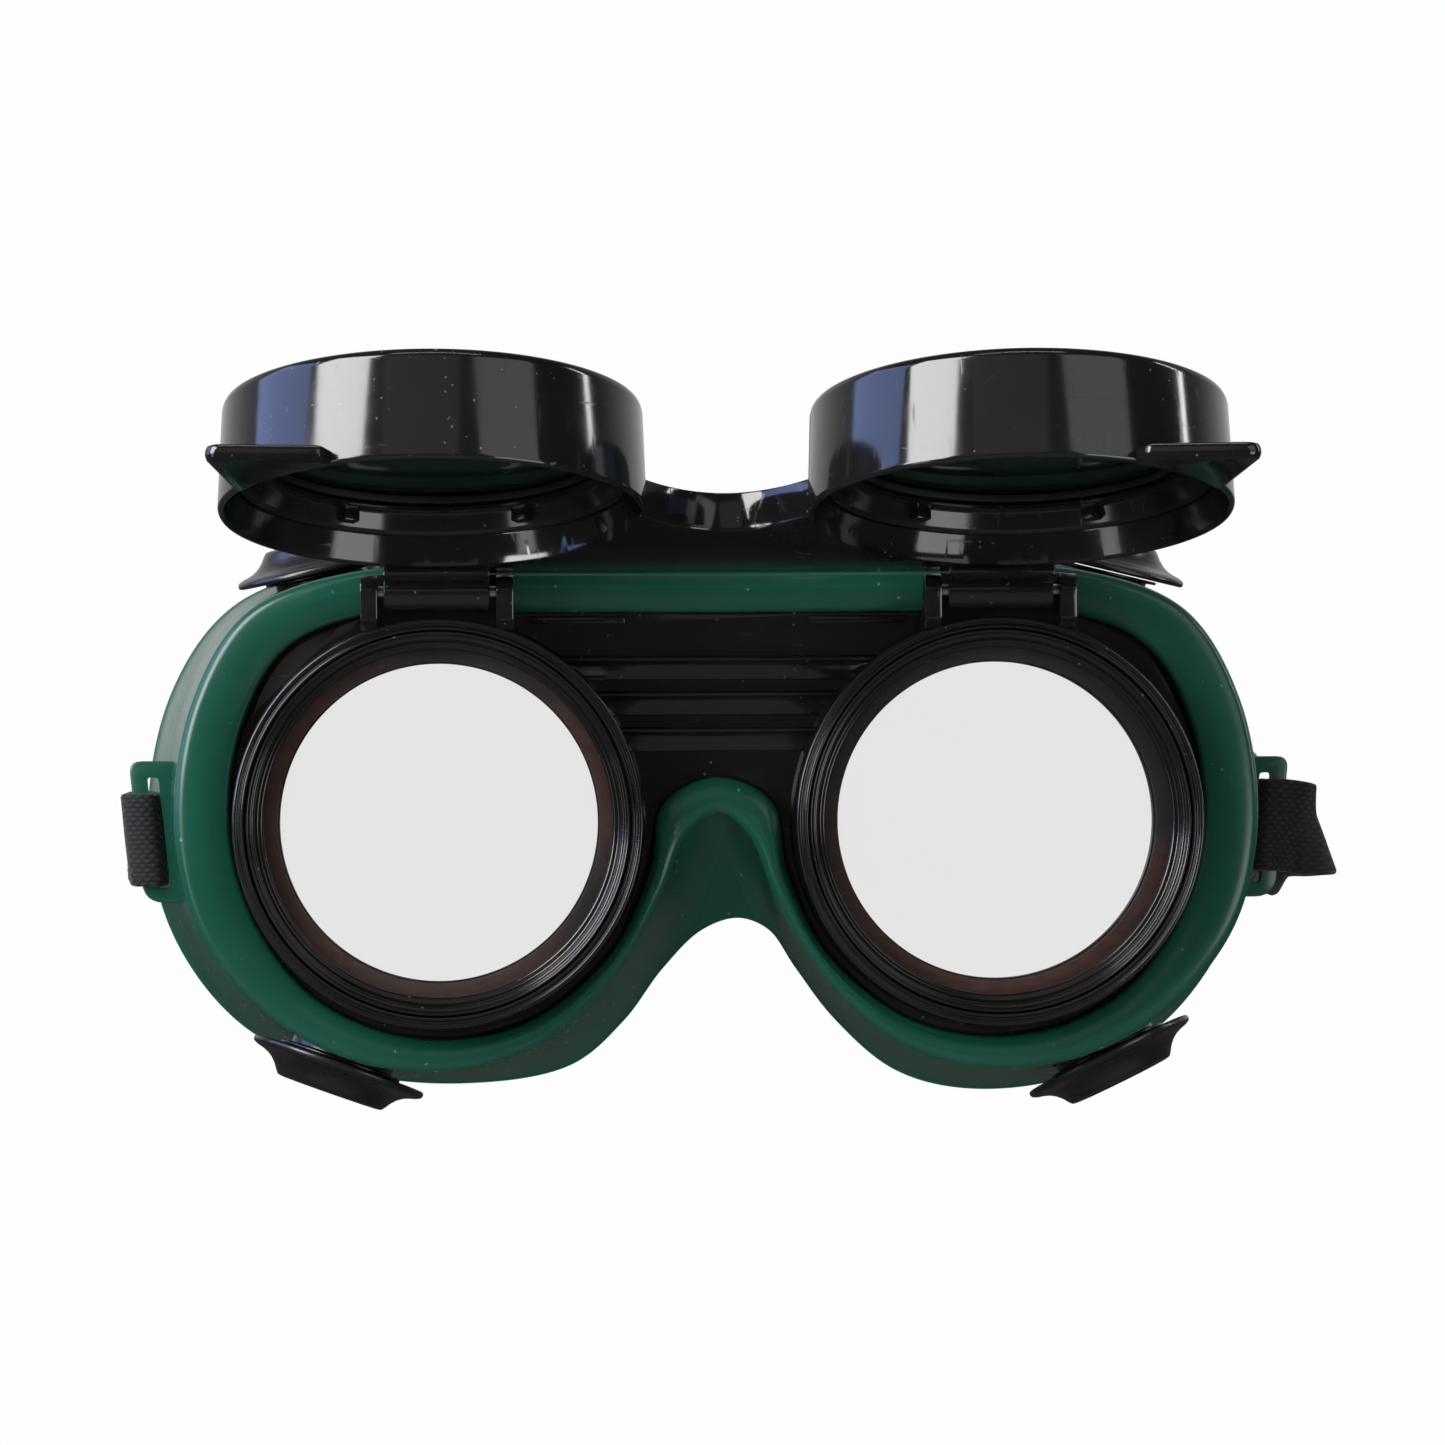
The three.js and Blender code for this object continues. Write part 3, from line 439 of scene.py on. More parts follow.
def red_fibre():
    """Pressed vulcanised fibre with short dark strands."""
    g = Graph("red_fibre", IOR=1.45)
    strands = g.noise(500, 6, 0.7, g.stretched(1, 1, 3))
    color = g.blend(g.between(strands, 0.35, 0.65), (0.022, 0.006, 0.004, 1), (0.075, 0.019, 0.013, 1))
    # Large patches of the fibre are darkened almost to black.
    dark_patches = g.between(g.noise(26, 2, 0.4), 0.44, 0.56)
    color = g.blend(dark_patches, color, (0.009, 0.0085, 0.0085, 1))
    return g.finish(color, g.between(strands, 0.3, 0.7, 0.5, 0.75), g.bump(strands, 0.3, 0.00012))


def black_rubber():
    """Soft rubber with a dull, dusty skin."""
    g = Graph("black_rubber", IOR=1.45)
    bloom = g.noise(150, 6, 0.65)
    color = g.blend(g.between(bloom, 0.35, 0.7), (0.004, 0.004, 0.004, 1), (0.011, 0.0105, 0.0105, 1))
    return g.finish(color, g.between(bloom, 0.3, 0.7, 0.5, 0.7), g.bump(g.noise(1200, 3, 0.6), 0.2, 0.0001))


def steel():
    """Drawn wire: bright metal with fine lines along its length and dull patches."""
    g = Graph("steel", Metallic=1.0)
    lines = g.noise(900, 4, 0.6, g.stretched(0.05, 1, 1))
    tarnish = g.noise(160, 5, 0.6)
    color = g.blend(g.between(tarnish, 0.4, 0.75), (0.52, 0.53, 0.54, 1), (0.30, 0.28, 0.26, 1))
    return g.finish(color, g.between(tarnish, 0.3, 0.8, 0.22, 0.45), g.bump(lines, 0.2, 0.00004))


def black_elastic():
    """Woven elastic. Its UVs run in millimetres: u along the band and v across it."""
    g = Graph("black_elastic", IOR=1.35, Sheen_Weight=0.12, Sheen_Roughness=0.4)
    uv = g.add("ShaderNodeUVMap", uv_map="band").outputs[0]
    parts = g.add("ShaderNodeSeparateXYZ", {0: uv})
    u, v = parts.outputs[0], parts.outputs[1]
    rib, yarn_w = 1.15, 0.68
    row = g.math("FLOOR", g.math("DIVIDE", v, yarn_w))
    shift = g.math("MULTIPLY", g.math("MODULO", row, 2.0), math.pi)
    along = g.math("ADD", g.math("MULTIPLY", u, 2 * math.pi / rib), shift)
    ribs = g.between(g.math("SINE", along), -1.0, 1.0)
    across = g.math("ABSOLUTE", g.math("SINE", g.math("MULTIPLY", v, math.pi / yarn_w)))
    yarn = g.math("MULTIPLY", g.math("POWER", across, 0.5), g.between(ribs, 0, 1, 0.35, 1))
    fuzz = g.noise(2600, 4, 0.7)
    height = g.math("ADD", yarn, g.math("MULTIPLY", fuzz, 0.35))
    # Painted shade: the colour is lighter on the yarns' crests and darker in the grooves between them, with
    # random tone from the fuzz.
    weave_shade_and_tone = g.math("MULTIPLY", yarn, g.between(fuzz, 0.3, 0.7, 0.45, 1.1))
    color = g.blend(g.between(weave_shade_and_tone, 0.1, 1), (0.0035, 0.0033, 0.0035, 1), (0.019, 0.018, 0.0185, 1))
    worn = g.between(g.noise(45, 5, 0.6), 0.5, 0.8, 0, 0.35)
    color = g.blend(worn, color, (0.026, 0.025, 0.0255, 1))
    return g.finish(color, g.between(fuzz, 0.3, 0.7, 0.7, 0.92), g.bump(height, 0.75, 0.00022))


PVC = green_pvc()
PLASTIC = black_plastic()
CUP_PLASTIC = black_plastic("black_plastic_worn", dusty=0.16, rough=0.07)
VENT = vent_plastic()
CLEAR = clear_glass()
DARK = dark_glass()
FIBRE = red_fibre()
RUBBER = black_rubber()
STEEL = steel()
ELASTIC = black_elastic()


# The soft mask. Matching points of the outlines run from the brow's middle down the right-hand
# side to the nose arch, as [x, z] or, for the rear edge, [x, z, y].
LIP_OUTER = [
    (0, 35.7), (30, 35.8), (52, 35.4), (66.5, 29.8), (74.3, 17), (76.8, 0), (73.5, -15), (64.5, -26.5),
    (52, -33.5), (38, -35.2), (25, -31.2), (14.5, -21.6), (8, -10.5), (4.4, -2), (0, 1.2),
]
LIP_INNER = [
    (0, 29.6), (30, 29.6), (50, 29.2), (61, 24.6), (67, 14), (68.9, 0), (66, -12.5), (58.3, -23.6),
    (48.3, -29.2), (37.5, -30.6), (26.3, -27.8), (15.1, -18.3), (9.6, -6.5), (7.9, 2.6), (0, 6.3),
]
REAR_EDGE = [
    (0, 37.5, 33), (30, 38, 36), (53, 37.5, 42), (70, 31.5, 49), (80, 18.5, 54), (84.2, 0, 56),
    (80, -17, 54), (69.5, -31, 49), (54.5, -39, 43.5), (38.5, -40.5, 39), (27.5, -37.5, 37),
    (18.7, -30, 36.5), (13, -22.5, 37), (9, -16.8, 38), (4.3, -15, 38),
    (-1.3, -16.8, 38), (-7.3, -22.5, 37), (-13, -30, 36.5), (-20.8, -36.5, 37), (-36.5, -39.2, 39),
    (-54, -37.6, 43.5), (-69.8, -31, 49), (-80.6, -17.2, 54), (-84.2, 0, 56), (-80.6, 18.5, 54),
    (-71, 31.5, 49), (-53, 37.5, 42), (-30, 38, 36),
]
KEYS = len(REAR_EDGE)
WALL_T = 1.6
WALL_START_Y = 1.8  # where the rounded lip turns into the wall
FLARE = 1.5  # how late along its depth the wall flares out
LIP_T = 2.6
BEAD_REACH = 50  # how far back the bead's crest stands, for each unit of depth past the edge


def both_sides(half):
    """A closed curve through the points of a right-hand half and its mirror image."""
    mirror = [(-x, z) for x, z in half[-2:0:-1]]
    return closed_curve([(x, 0, z) for x, z in half + mirror])


lip_outer = both_sides(LIP_OUTER)
lip_inner = both_sides(LIP_INNER)
rear_edge = closed_curve([(x, y, z) for x, z, y in REAR_EDGE])


def wall_point(key, depth):
    """A point of the outer wall, from depth 0 at the lip to 1 at the rear edge."""
    front, back = lip_outer(key), rear_edge(key)
    point = front + (back - front) * depth ** FLARE
    point[1] = WALL_START_Y + (back[1] - WALL_START_Y) * depth
    return point


def inward(key, depth):
    """The unit vector pointing into the mask from the wall, level with the lens plane."""
    along = wall_point(key + 0.05, depth) - wall_point(key - 0.05, depth)
    normal = np.array((along[2], 0, -along[0]))
    return normal / np.linalg.norm(normal)


def wall_section(key):
    """The mask's wall and lip at a key: a crowned lip with a rolled outer edge, a thin wall and
    a bead along the rear edge."""
    outer, inner = lip_outer(key), lip_inner(key)
    width = np.linalg.norm(inner - outer)
    across = (inner - outer) / width
    lip = [
        (width, LIP_T), (width, 1.7), (width - 0.08, 1.2), (width - 0.35, 0.8), (width - 0.8, 0.58),
        (0.78 * width, 0.36), (0.68 * width, 0.16), (0.6 * width, 0.04), (0.5 * width, -0.04),
        (0.38 * width, -0.05),
        (2.1, 0.02), (1.5, 0.1), (1.0, 0.24), (0.6, 0.5), (0.28, 0.88), (0.07, 1.32),
    ]
    section = [outer + across * u + np.array((0, y, 0)) for u, y in lip]
    for depth in (0, 0.06, 0.14, 0.24, 0.35, 0.46, 0.58, 0.7, 0.8, 0.88, 0.94, 0.975):
        section.append(wall_point(key, depth))
    for depth, shift in ((0.99, -0.3), (1.0, 0.0), (1.006, 0.8), (1.0, 1.6), (0.99, 1.9), (0.97, 1.65)):
        section.append(wall_point(key, min(depth, 1)) + inward(key, 1) * shift)
        section[-1][1] += max(depth - 1, 0) * BEAD_REACH
    for depth in (0.93, 0.86, 0.78, 0.68, 0.56, 0.44, 0.32, 0.2, 0.1, 0.04):
        section.append(wall_point(key, depth) + inward(key, depth) * WALL_T)
    corner = wall_point(key, 0) + inward(key, 0) * WALL_T
    section.append(np.array((corner[0], LIP_T, corner[2])))
    return section


VENTS = (
    ("upper_right", 2.2, 0.45), ("lower_right", 7.7, 0.45), ("lower_left", KEYS - 7.9, 0.34),
    ("upper_left", KEYS - 2.2, 0.45),
)
VENT_HOLE_R = 8.1
CUT_REACH = 6  # how far a cut goes to each side of a wall


def vent_seat(key, depth):
    """The place of a vent: its own +y axis points straight out of the wall."""
    along = wall_point(key + 0.05, depth) - wall_point(key - 0.05, depth)
    back = wall_point(key, depth + 0.05) - wall_point(key, depth - 0.05)
    out = Vector(np.cross(along, back)).normalized()
    turn = Vector((0, 1, 0)).rotation_difference(out).to_matrix().to_4x4()
    return Matrix.Translation(Vector(wall_point(key, depth))) @ turn


EAR_Y, EAR_T = 28, 2.5
EAR_TOP, EAR_BOTTOM, EAR_LEAN = 8.7, -12, 0.105
EAR_ROOT_X, EAR_TIP_X = 78.3, 85.2
SLOT_IN_X, SLOT_OUT_X = 81.1, 82.9


def lean(z):
    """How far out an ear's points are moved at a height, so that it follows the side wall."""
    return EAR_LEAN * (z - EAR_TOP)


def ear_plate(s, outline, y0, y1, bevel):
    """A plate with an outline of [x, z] points, which leans in towards its lower end."""
    return plate([(s * (x + lean(z)), z) for x, z in outline], y0, y1, bevel)


def ear(s):
    top = [(EAR_ROOT_X, EAR_TOP), (EAR_TIP_X - 1.8, EAR_TOP)]
    top += bowed(top[-1], (EAR_TIP_X, EAR_TOP), (EAR_TIP_X, EAR_TOP - 1.8), 5)
    bottom = [(EAR_TIP_X, EAR_BOTTOM + 3)]
    bottom += bowed(bottom[-1], (EAR_TIP_X, EAR_BOTTOM), (EAR_TIP_X - 3, EAR_BOTTOM), 6)
    return ear_plate(s, top + bottom + [(EAR_ROOT_X, EAR_BOTTOM)], EAR_Y, EAR_Y + EAR_T, 0.4)


def ear_slot(s):
    z0, z1 = EAR_BOTTOM + 2.1, EAR_TOP - 2.4
    corners = [(SLOT_IN_X, z0), (SLOT_OUT_X, z0), (SLOT_OUT_X, z1), (SLOT_IN_X, z1)]
    return ear_plate(s, rounded(corners, 0.5), EAR_Y - 1, EAR_Y + EAR_T + 1, 0)


def make_mask():
    steps = 16
    rings = [wall_section(i / steps) for i in range(KEYS * steps)]
    cuts = [ear_slot(s) for _, s in SIDES]
    for _, key, depth in VENTS:
        hole = turned(ring_outline(0, VENT_HOLE_R, -CUT_REACH, CUT_REACH), 64, 0)
        cuts.append(moved(hole, turn=vent_seat(key, depth)))
    body = combined(lofted(rings, capped=False), [ear(s) for _, s in SIDES], cuts)
    place(body, "mask_body", "mask", PVC, ["frame"], angle=40)


# The cover plate
PLATE_FRONT_Y, PLATE_T, PLATE_TUCK = 3, 2, 0.15
BOSS_R, BOSS_BORE_R, BOSS_FRONT_Y = 28.8, 27.2, -5.4
KNUCKLE_T, KNUCKLE_R, KNUCKLE_X = 2.4, 2.4, 9.5
BARREL_R, BARREL_L = 2.6, 14.8
PIN_R, PIN_HOLE_R = 0.85, 1.2
LOUVRES = ((22.7, 22.2), (17.7, 17.2), (12.6, 14))  # height and half length of each
HINGE_WEB = [(-1.5, 27.4), (-0.4, 27.4), (-0.4, 35), (-1.5, 35)]


def knuckle():
    """A hinge leg: it stands on the plate below the lip, then rises in front of it round the pin."""
    foot = PLATE_FRONT_Y + SUNK
    front = HINGE_Y + RIM_Y + GAP
    outline = [(foot, 26.3), (foot, 29), (-0.4, 29), (-0.4, 31)]
    for angle in np.linspace(0, math.pi, 15):
        outline.append((HINGE_Y + KNUCKLE_R * math.cos(angle), HINGE_Z + KNUCKLE_R * math.sin(angle)))
    outline += [(front, HINGE_Z + BRIDGE_TOP + GAP), (front, 28.5), (-4, 26.3)]
    return bar(outline, -KNUCKLE_T / 2, KNUCKLE_T / 2, 0.22)


def louvre(z, half):
    """A ridge with a fine crest and a hollow lower slope."""
    back = PLATE_FRONT_Y + SUNK
    outline = [(back, z + 1), (1.5, z + 0.7), (1.2, z + 0.45), (1.2, z + 0.2)]
    outline += bowed(outline[-1], (2.4, z - 0.6), (2.75, z - 2.6), 5) + [(back, z - 2.8)]
    return bar(outline, -half, half, 0.12)


def make_cover_plate():
    steps = 8
    edge = []
    for i in range(KEYS * steps):
        inner, outer = lip_inner(i / steps), lip_outer(i / steps)
        point = inner + (outer - inner) * PLATE_TUCK
        edge.append((point[0], point[2]))
    base = plate(edge, PLATE_FRONT_Y, PLATE_FRONT_Y + PLATE_T, 0.2)
    boss_outline = [
        (26, 4), (26, -5), (27.5, BOSS_FRONT_Y), (27.75, BOSS_FRONT_Y + 0.35), (28, BOSS_FRONT_Y + 0.35),
        (28.15, BOSS_FRONT_Y), (28.6, BOSS_FRONT_Y), (BOSS_R, BOSS_FRONT_Y + 0.3), (BOSS_R, 1.8),
        (BOSS_R + 0.5, 3.1), (BOSS_R + 0.5, 4),
    ]
    parts, cuts = [], []
    for _, s in SIDES:
        x = s * LENS_X
        parts.append(moved(turned(boss_outline, 160, 0.16), x))
        parts.append(moved(bar(HINGE_WEB, -KNUCKLE_X, KNUCKLE_X), x))
        parts += [moved(knuckle(), x + end * KNUCKLE_X) for end in (-1, 1)]
        parts.append(moved(block(-6.7, 6.7, 2.5, 3.5, 28.1, 29.1, 0.15), s * 19.8))
        cuts.append(moved(rod(PIN_HOLE_R, -KNUCKLE_X - 3, KNUCKLE_X + 3, 32, 0), x, HINGE_Y, HINGE_Z))
        cuts.append(moved(turned(ring_outline(0, BOSS_BORE_R, -7, PLATE_FRONT_Y), 160, 0), x))
        cuts.append(moved(turned(ring_outline(0, SIGHT_R, 2, CUT_REACH), 160, 0), x))
    parts += [louvre(z, half) for z, half in LOUVRES]
    moulding = combined(base, parts, cuts)
    place(moulding, "cover_plate_moulding", "mask", PLASTIC, ["cover_plate"])


# The fixed lenses
LENS_RING = [
    (24.5, -1.9), (24.5, -2.5), (24.75, -2.8), (25.35, -2.85), (25.6, -3.2), (25.75, -4.1), (25.95, -4.35),
    (26.35, -4.4), (26.5, -4.95), (26.65, -5.1), (BOSS_BORE_R - GAP, -5.1), (BOSS_BORE_R - GAP, 1.5),
    (25.3, 1.5), (25.3, -1.9),
]
LENS_FRONT_Y, LENS_BACK_Y = -1.6, 0.9
GASKET_FRONT_Y, GASKET_BACK_Y = 1.3, 2.6


def mould_marks(y):
    """The small round marks that the ejector pins leave in the margin of a clear lens."""
    marks = []
    for degrees in (110, -14, -128):
        angle = math.radians(degrees)
        mark = turned(ring_outline(0.75, 1.05, y - 0.06, y + 0.1), 24, 0.05)
        marks.append(moved(mark, 23.8 * math.cos(angle), 0, 23.8 * math.sin(angle)))
    return marks


def make_fixed_lenses():
    for side, s in SIDES:
        ring, name = moved(turned(LENS_RING, 160, 0.16), s * LENS_X), f"lens_ring_{side}"
        place(ring, f"lens_ring_piece_{side}", name, PLASTIC, [name])
        lens = turned(ring_outline(0, LENS_R, LENS_FRONT_Y, LENS_BACK_Y), 160, 0.3)
        lens = moved(together([lens, *mould_marks(LENS_FRONT_Y)]), s * LENS_X)
        place(lens, f"clear_lens_piece_{side}", "mask", CLEAR, [f"clear_lens_{side}"])
        gasket = moved(turned(ring_outline(GASKET_R, LENS_R, GASKET_FRONT_Y, GASKET_BACK_Y)), s * LENS_X)
        place(gasket, f"fibre_gasket_piece_{side}", "mask", FIBRE, [f"fibre_gasket_{side}"])


# The lift-up front, drawn closed round the hinge axis
CUP_R, CUP_FACE_R, CUP_H, CUP_DROP = 28.7, 28.2, 15.1, 32.4
RIM_Y = -2.4
SEAT_R, SKIRT_R, SEAT_H, FLANGE_T = 25.4, 26.6, 7.3, 1.5
SKIRT_RIM_R, SKIRT_H = 27.8, 4.2
FACE_Y = RIM_Y - CUP_H
CUP = [
    (SIGHT_R, FACE_Y + 0.4), (SIGHT_R + 0.5, FACE_Y), (CUP_FACE_R - 1.1, FACE_Y),
    (CUP_FACE_R - 0.3, FACE_Y + 0.3), (CUP_FACE_R, FACE_Y + 1.1), (CUP_R, RIM_Y - 0.5),
    (CUP_R - 0.3, RIM_Y), (SKIRT_RIM_R + 0.25, RIM_Y), (SKIRT_RIM_R, RIM_Y - 0.3),
    (SKIRT_R, RIM_Y - SKIRT_H), (SKIRT_R, FACE_Y + SEAT_H), (SEAT_R, FACE_Y + SEAT_H),
    (SEAT_R, FACE_Y + FLANGE_T), (SIGHT_R, FACE_Y + FLANGE_T),
]
TAB_T = 2
ARCH_CROWN, ARCH_FOOT, ARCH_HALF = -24, -31.5, 11.2
BRIDGE_TOP, BRIDGE_SHOULDER = -1.2, -12


def thumb_tab(s):
    """The fin at the outer lower side of a cup. Its corners are in cup radii from the cup's middle."""
    path = [(0.42, -0.86), (0.48, -0.99), (0.92, -1.01)]
    path += bowed(path[-1], (1.01, -1.01), (1.0, -0.92), 8) + [(0.9, -0.43), (0.84, -0.4)]
    outline = [(s * (LENS_X + x * CUP_R), z * CUP_R - CUP_DROP) for x, z in path]
    return plate(outline, RIM_Y - TAB_T, RIM_Y, 0.7)


def arch(lift, out):
    """The arch between the cups from left to right, lift above its lower edge."""
    left = (-out, ARCH_FOOT + (2 * lift if lift else 0))
    crown = (0, ARCH_CROWN + lift)
    path = [left] + bowed(left, (-ARCH_HALF / 2, crown[1]), crown, 12)
    return path + [(-x, z) for x, z in path[-2::-1]]


def make_flip_front():
    lower = arch(0, ARCH_HALF)
    bridge = [
        (-LENS_X, BRIDGE_TOP), (-LENS_X, BRIDGE_SHOULDER), *lower,
        (LENS_X, BRIDGE_SHOULDER), (LENS_X, BRIDGE_TOP),
    ]
    base = plate(bridge, RIM_Y - 2, RIM_Y, 0.3)
    out = ARCH_HALF + 1
    wall = [(-out, ARCH_FOOT), *lower, (out, ARCH_FOOT), *arch(1.6, out)[::-1]]
    parts, cuts = [plate(wall, RIM_Y - 5.4, RIM_Y, 0.3)], []
    for _, s in SIDES:
        x = s * LENS_X
        parts.append(moved(turned(CUP, 192, 0.3), x, 0, -CUP_DROP))
        parts.append(thumb_tab(s))
        parts.append(moved(rod(BARREL_R, -BARREL_L / 2, BARREL_L / 2, 64, 0.3), x))
        parts.append(moved(block(-BARREL_L / 2, BARREL_L / 2, RIM_Y - 2, -0.9, -5.5, BRIDGE_TOP, 0.3), x))
        cuts.append(moved(rod(PIN_HOLE_R, -9, 9, 32, 0), x))
        seat = turned(ring_outline(0, SEAT_R, FACE_Y + FLANGE_T, FACE_Y + SEAT_H + 0.1), 192, 0)
        skirt = turned([
            (0, FACE_Y + SEAT_H - SUNK), (SEAT_R, FACE_Y + SEAT_H - SUNK), (SEAT_R, FACE_Y + SEAT_H),
            (SKIRT_R, FACE_Y + SEAT_H), (SKIRT_R, RIM_Y - SKIRT_H), (SKIRT_RIM_R, RIM_Y - 0.3),
            (SKIRT_RIM_R, RIM_Y + SUNK), (0, RIM_Y + SUNK),
        ], 192, 0)
        cuts += [moved(seat, x, 0, -CUP_DROP), moved(skirt, x, 0, -CUP_DROP)]
    moulding = combined(base, parts, cuts)
    place(moulding, "flip_front_moulding", "flip", CUP_PLASTIC, ["flip_front"], lift=True)


RING_R, RING_H = 26.2, 3.4
SPATTER_T, SHADE_T, WASHER_T = 1, 2.8, 1


def shade_ring():
    """A thin flange with a wall round it, and four lugs inside the wall to turn it by."""
    back = FACE_Y + SEAT_H + 0.4
    top = back + RING_H
    ring = turned([
        (GASKET_R, back), (RING_R, back), (RING_R, top - 0.3), (RING_R - 0.3, top), (25.5, top),
        (25.4, top - 0.25), (25.1, top - 0.25), (25, top), (24.9, top), (24.65, top - 0.25),
        (24, back + 0.9), (23.8, back + 0.7), (GASKET_R, back + 0.7),
    ], 160, 0.12)
    lugs = []
    for degrees in (60, 120, 240, 300):
        lug = block(GASKET_R + 0.1, RING_R - 1, back + 0.4, top - 0.7, -1.2, 1.2, 0.2)
        lugs.append(moved(lug, turn=Matrix.Rotation(math.radians(degrees), 4, "Y")))
    return combined(ring, lugs)


def make_shade_lenses():
    seat = FACE_Y + FLANGE_T + GAP
    behind = seat + SPATTER_T + GAP
    washer = behind + SHADE_T + GAP
    for side, s in SIDES:
        stack = (
            ("spatter_lens", "flip", "clear_glass", CLEAR,
             turned(ring_outline(0, LENS_R, seat, seat + SPATTER_T))),
            ("shade_lens", "flip", "dark_glass", DARK,
             turned(ring_outline(0, LENS_R, behind, behind + SHADE_T), 128, 0.3)),
            ("shade_gasket", "flip", "black_rubber", RUBBER,
             turned(ring_outline(GASKET_R, LENS_R, washer, washer + WASHER_T))),
            ("shade_ring", f"shade_ring_{side}", "black_plastic", PLASTIC, shade_ring()),
        )
        for name, body, slot, material, thing in stack:
            moved(thing, s * LENS_X, 0, -CUP_DROP)
            place(thing, f"{name}_piece_{side}", body, material, [f"{name}_{side}"], lift=True)


PIN_SHORT = 0.2  # a pin ends this far inside its knuckle


def make_pins():
    half = KNUCKLE_X + KNUCKLE_T / 2 - PIN_SHORT
    for side, s in SIDES:
        pin = moved(rod(PIN_R, -half, half, 32, 0.25), s * LENS_X, HINGE_Y, HINGE_Z)
        place(pin, f"hinge_pin_piece_{side}", "mask", STEEL, [f"hinge_pin_{side}"])


# The vents
VENT_R = 12.9
VENT_BASE = [(5, -5.2), (9, -5.2), (9, -4.2), (7.6, -4.2), (7.6, 0.4), (9, 0.5), (9, 0.9), (5, 0.9)]
VENT_CAP = [
    (0, 1.3), (VENT_R - 1.1, 1.3), (VENT_R - 0.5, 1), (VENT_R - 0.1, 1.15), (VENT_R, 1.5),
    (VENT_R - 0.15, 1.95), (12, 2.3), (11.2, 2.5), (10.3, 2.85), (9.5, 3.4), (8.8, 4.15), (8.3, 4.9),
    (7.9, 5.4), (7.3, 5.5), (6.3, 5.5), (6.1, 5.25), (0, 5.25),
]


def make_vents():
    for name, key, depth in VENTS:
        seat = vent_seat(key, depth)
        base = moved(turned(VENT_BASE, 96, 0.15), turn=seat)
        place(base, f"vent_base_piece_{name}", "mask", VENT, [f"vent_base_{name}"])
        cap = moved(turned(VENT_CAP, 96, 0.2), turn=seat)
        place(cap, f"vent_cap_piece_{name}", "mask", VENT, [f"vent_cap_{name}"])


# The strap. Its middle line runs from the sewn end, out through the left slot and round the ear's
# bar, back round the head, in through the right slot and back on itself to the tail.
STRAP_W, STRAP_T, STRAP_Z = 13.6, 1.2, -2.8
SLOT_Z, FOLD_TILT, LAYER = -1.4, 20, 1.7
SLIDE_FROM = Vector((84.6, 66, -4.2))
SLIDE_ALONG = Vector((-0.17, 0.93, 0.33)).normalized()
SLIDE_OUT = Vector((SLIDE_ALONG.y, -SLIDE_ALONG.x, 0)).normalized()


def on_slide(distance, layer):
    return (*(SLIDE_FROM + SLIDE_ALONG * distance + SLIDE_OUT * (layer * LAYER)), 0)


def strap_points():
    """The band's points as [x, y, z, tilt]. A tilt, in degrees, leans its upper edge to the left."""
    ear_tilt = math.degrees(math.atan(EAR_LEAN))
    slot_x = (SLOT_IN_X + SLOT_OUT_X) / 2 + lean(STRAP_Z)
    tip_x = EAR_TIP_X + lean(STRAP_Z) + GAP + STRAP_T / 2 + 0.2
    fold_y = EAR_Y - GAP - STRAP_T / 2
    z = STRAP_Z
    left = [
        (-84.9, 60, z, 0), (-84.6, 50, z, 0), (-83.6, 42, z, 0), (-82.3, 36, z, ear_tilt / 2),
        (-81.3, 33, z, ear_tilt), (-slot_x, 30.6, z, ear_tilt), (-slot_x, 28.6, z, ear_tilt),
        (-slot_x - 0.7, fold_y + 0.2, z, ear_tilt),
        (-slot_x - 2, fold_y - 0.1, z, ear_tilt), (-tip_x + 0.5, fold_y + 0.5, z, ear_tilt),
        (-tip_x - 0.1, 29, z, ear_tilt), (-tip_x - 0.2, 34, z, ear_tilt), (-86, 42, z, ear_tilt / 2),
        (-86.6, 52, z, 0),
        (-86.6, 62, -3.2, 0), (-85.6, 74, -3.8, 0), (-83.2, 87, 2, 0),
    ]
    back = [
        (-78.4, 102, 13, 0), (-70.5, 118, 24, 0), (-58, 134, 31.5, 0), (-41, 147, 35, 0), (-21, 154, 36.3, 0),
        (0, 156, 36.5, 0), (21, 154, 36.3, 0), (41, 147, 35, 0), (57.5, 134, 31.5, 0), (69.5, 119, 24.5, 0),
    ]
    inner = [on_slide(distance, 0) for distance in (42, 36, 24, 12, 0, -6)]
    right = [
        (84.9, 50, z, 0), (83.6, 42, z, 0), (82.3, 36, -2, -ear_tilt / 2), (81.3, 33, SLOT_Z, -ear_tilt),
        (slot_x, 30.6, SLOT_Z, -ear_tilt), (slot_x, 28.6, SLOT_Z, -ear_tilt),
        (slot_x + 0.8, fold_y + 0.2, SLOT_Z, -ear_tilt), (slot_x + 2.4, fold_y - 0.2, SLOT_Z, -2),
        (85.2, fold_y - 0.3, -1.6, 6), (87.4, fold_y - 0.3, -2, 14), (89, fold_y + 0.4, -2.3, FOLD_TILT),
        (89.6, 28.9, -2.4, FOLD_TILT), (89.3, 34, -2.6, FOLD_TILT - 2), (88.5, 42, z, 10),
        (87.5, 51, -3.2, 4),
    ]
    outer = [on_slide(distance, 1) for distance in (-6, 0, 12, 24, 36, 40)]
    return left + back + inner + right + outer


def band_section():
    """The band's section as [across, through] points in half widths: flat sides, round edges."""
    half_w, half_t = STRAP_W / 2, STRAP_T / 2
    flat = [(a * (half_w - 0.5), half_t * (1 + 0.05 * math.cos(a * math.pi))) for a in np.linspace(1, -1, 15)]
    left = [(-half_w + 0.12, half_t * 0.62), (-half_w, 0), (-half_w + 0.12, -half_t * 0.62)]
    lower = [(-a, -t) for a, t in flat]
    right = [(-a, -t) for a, t in left]
    return flat + left + lower + right


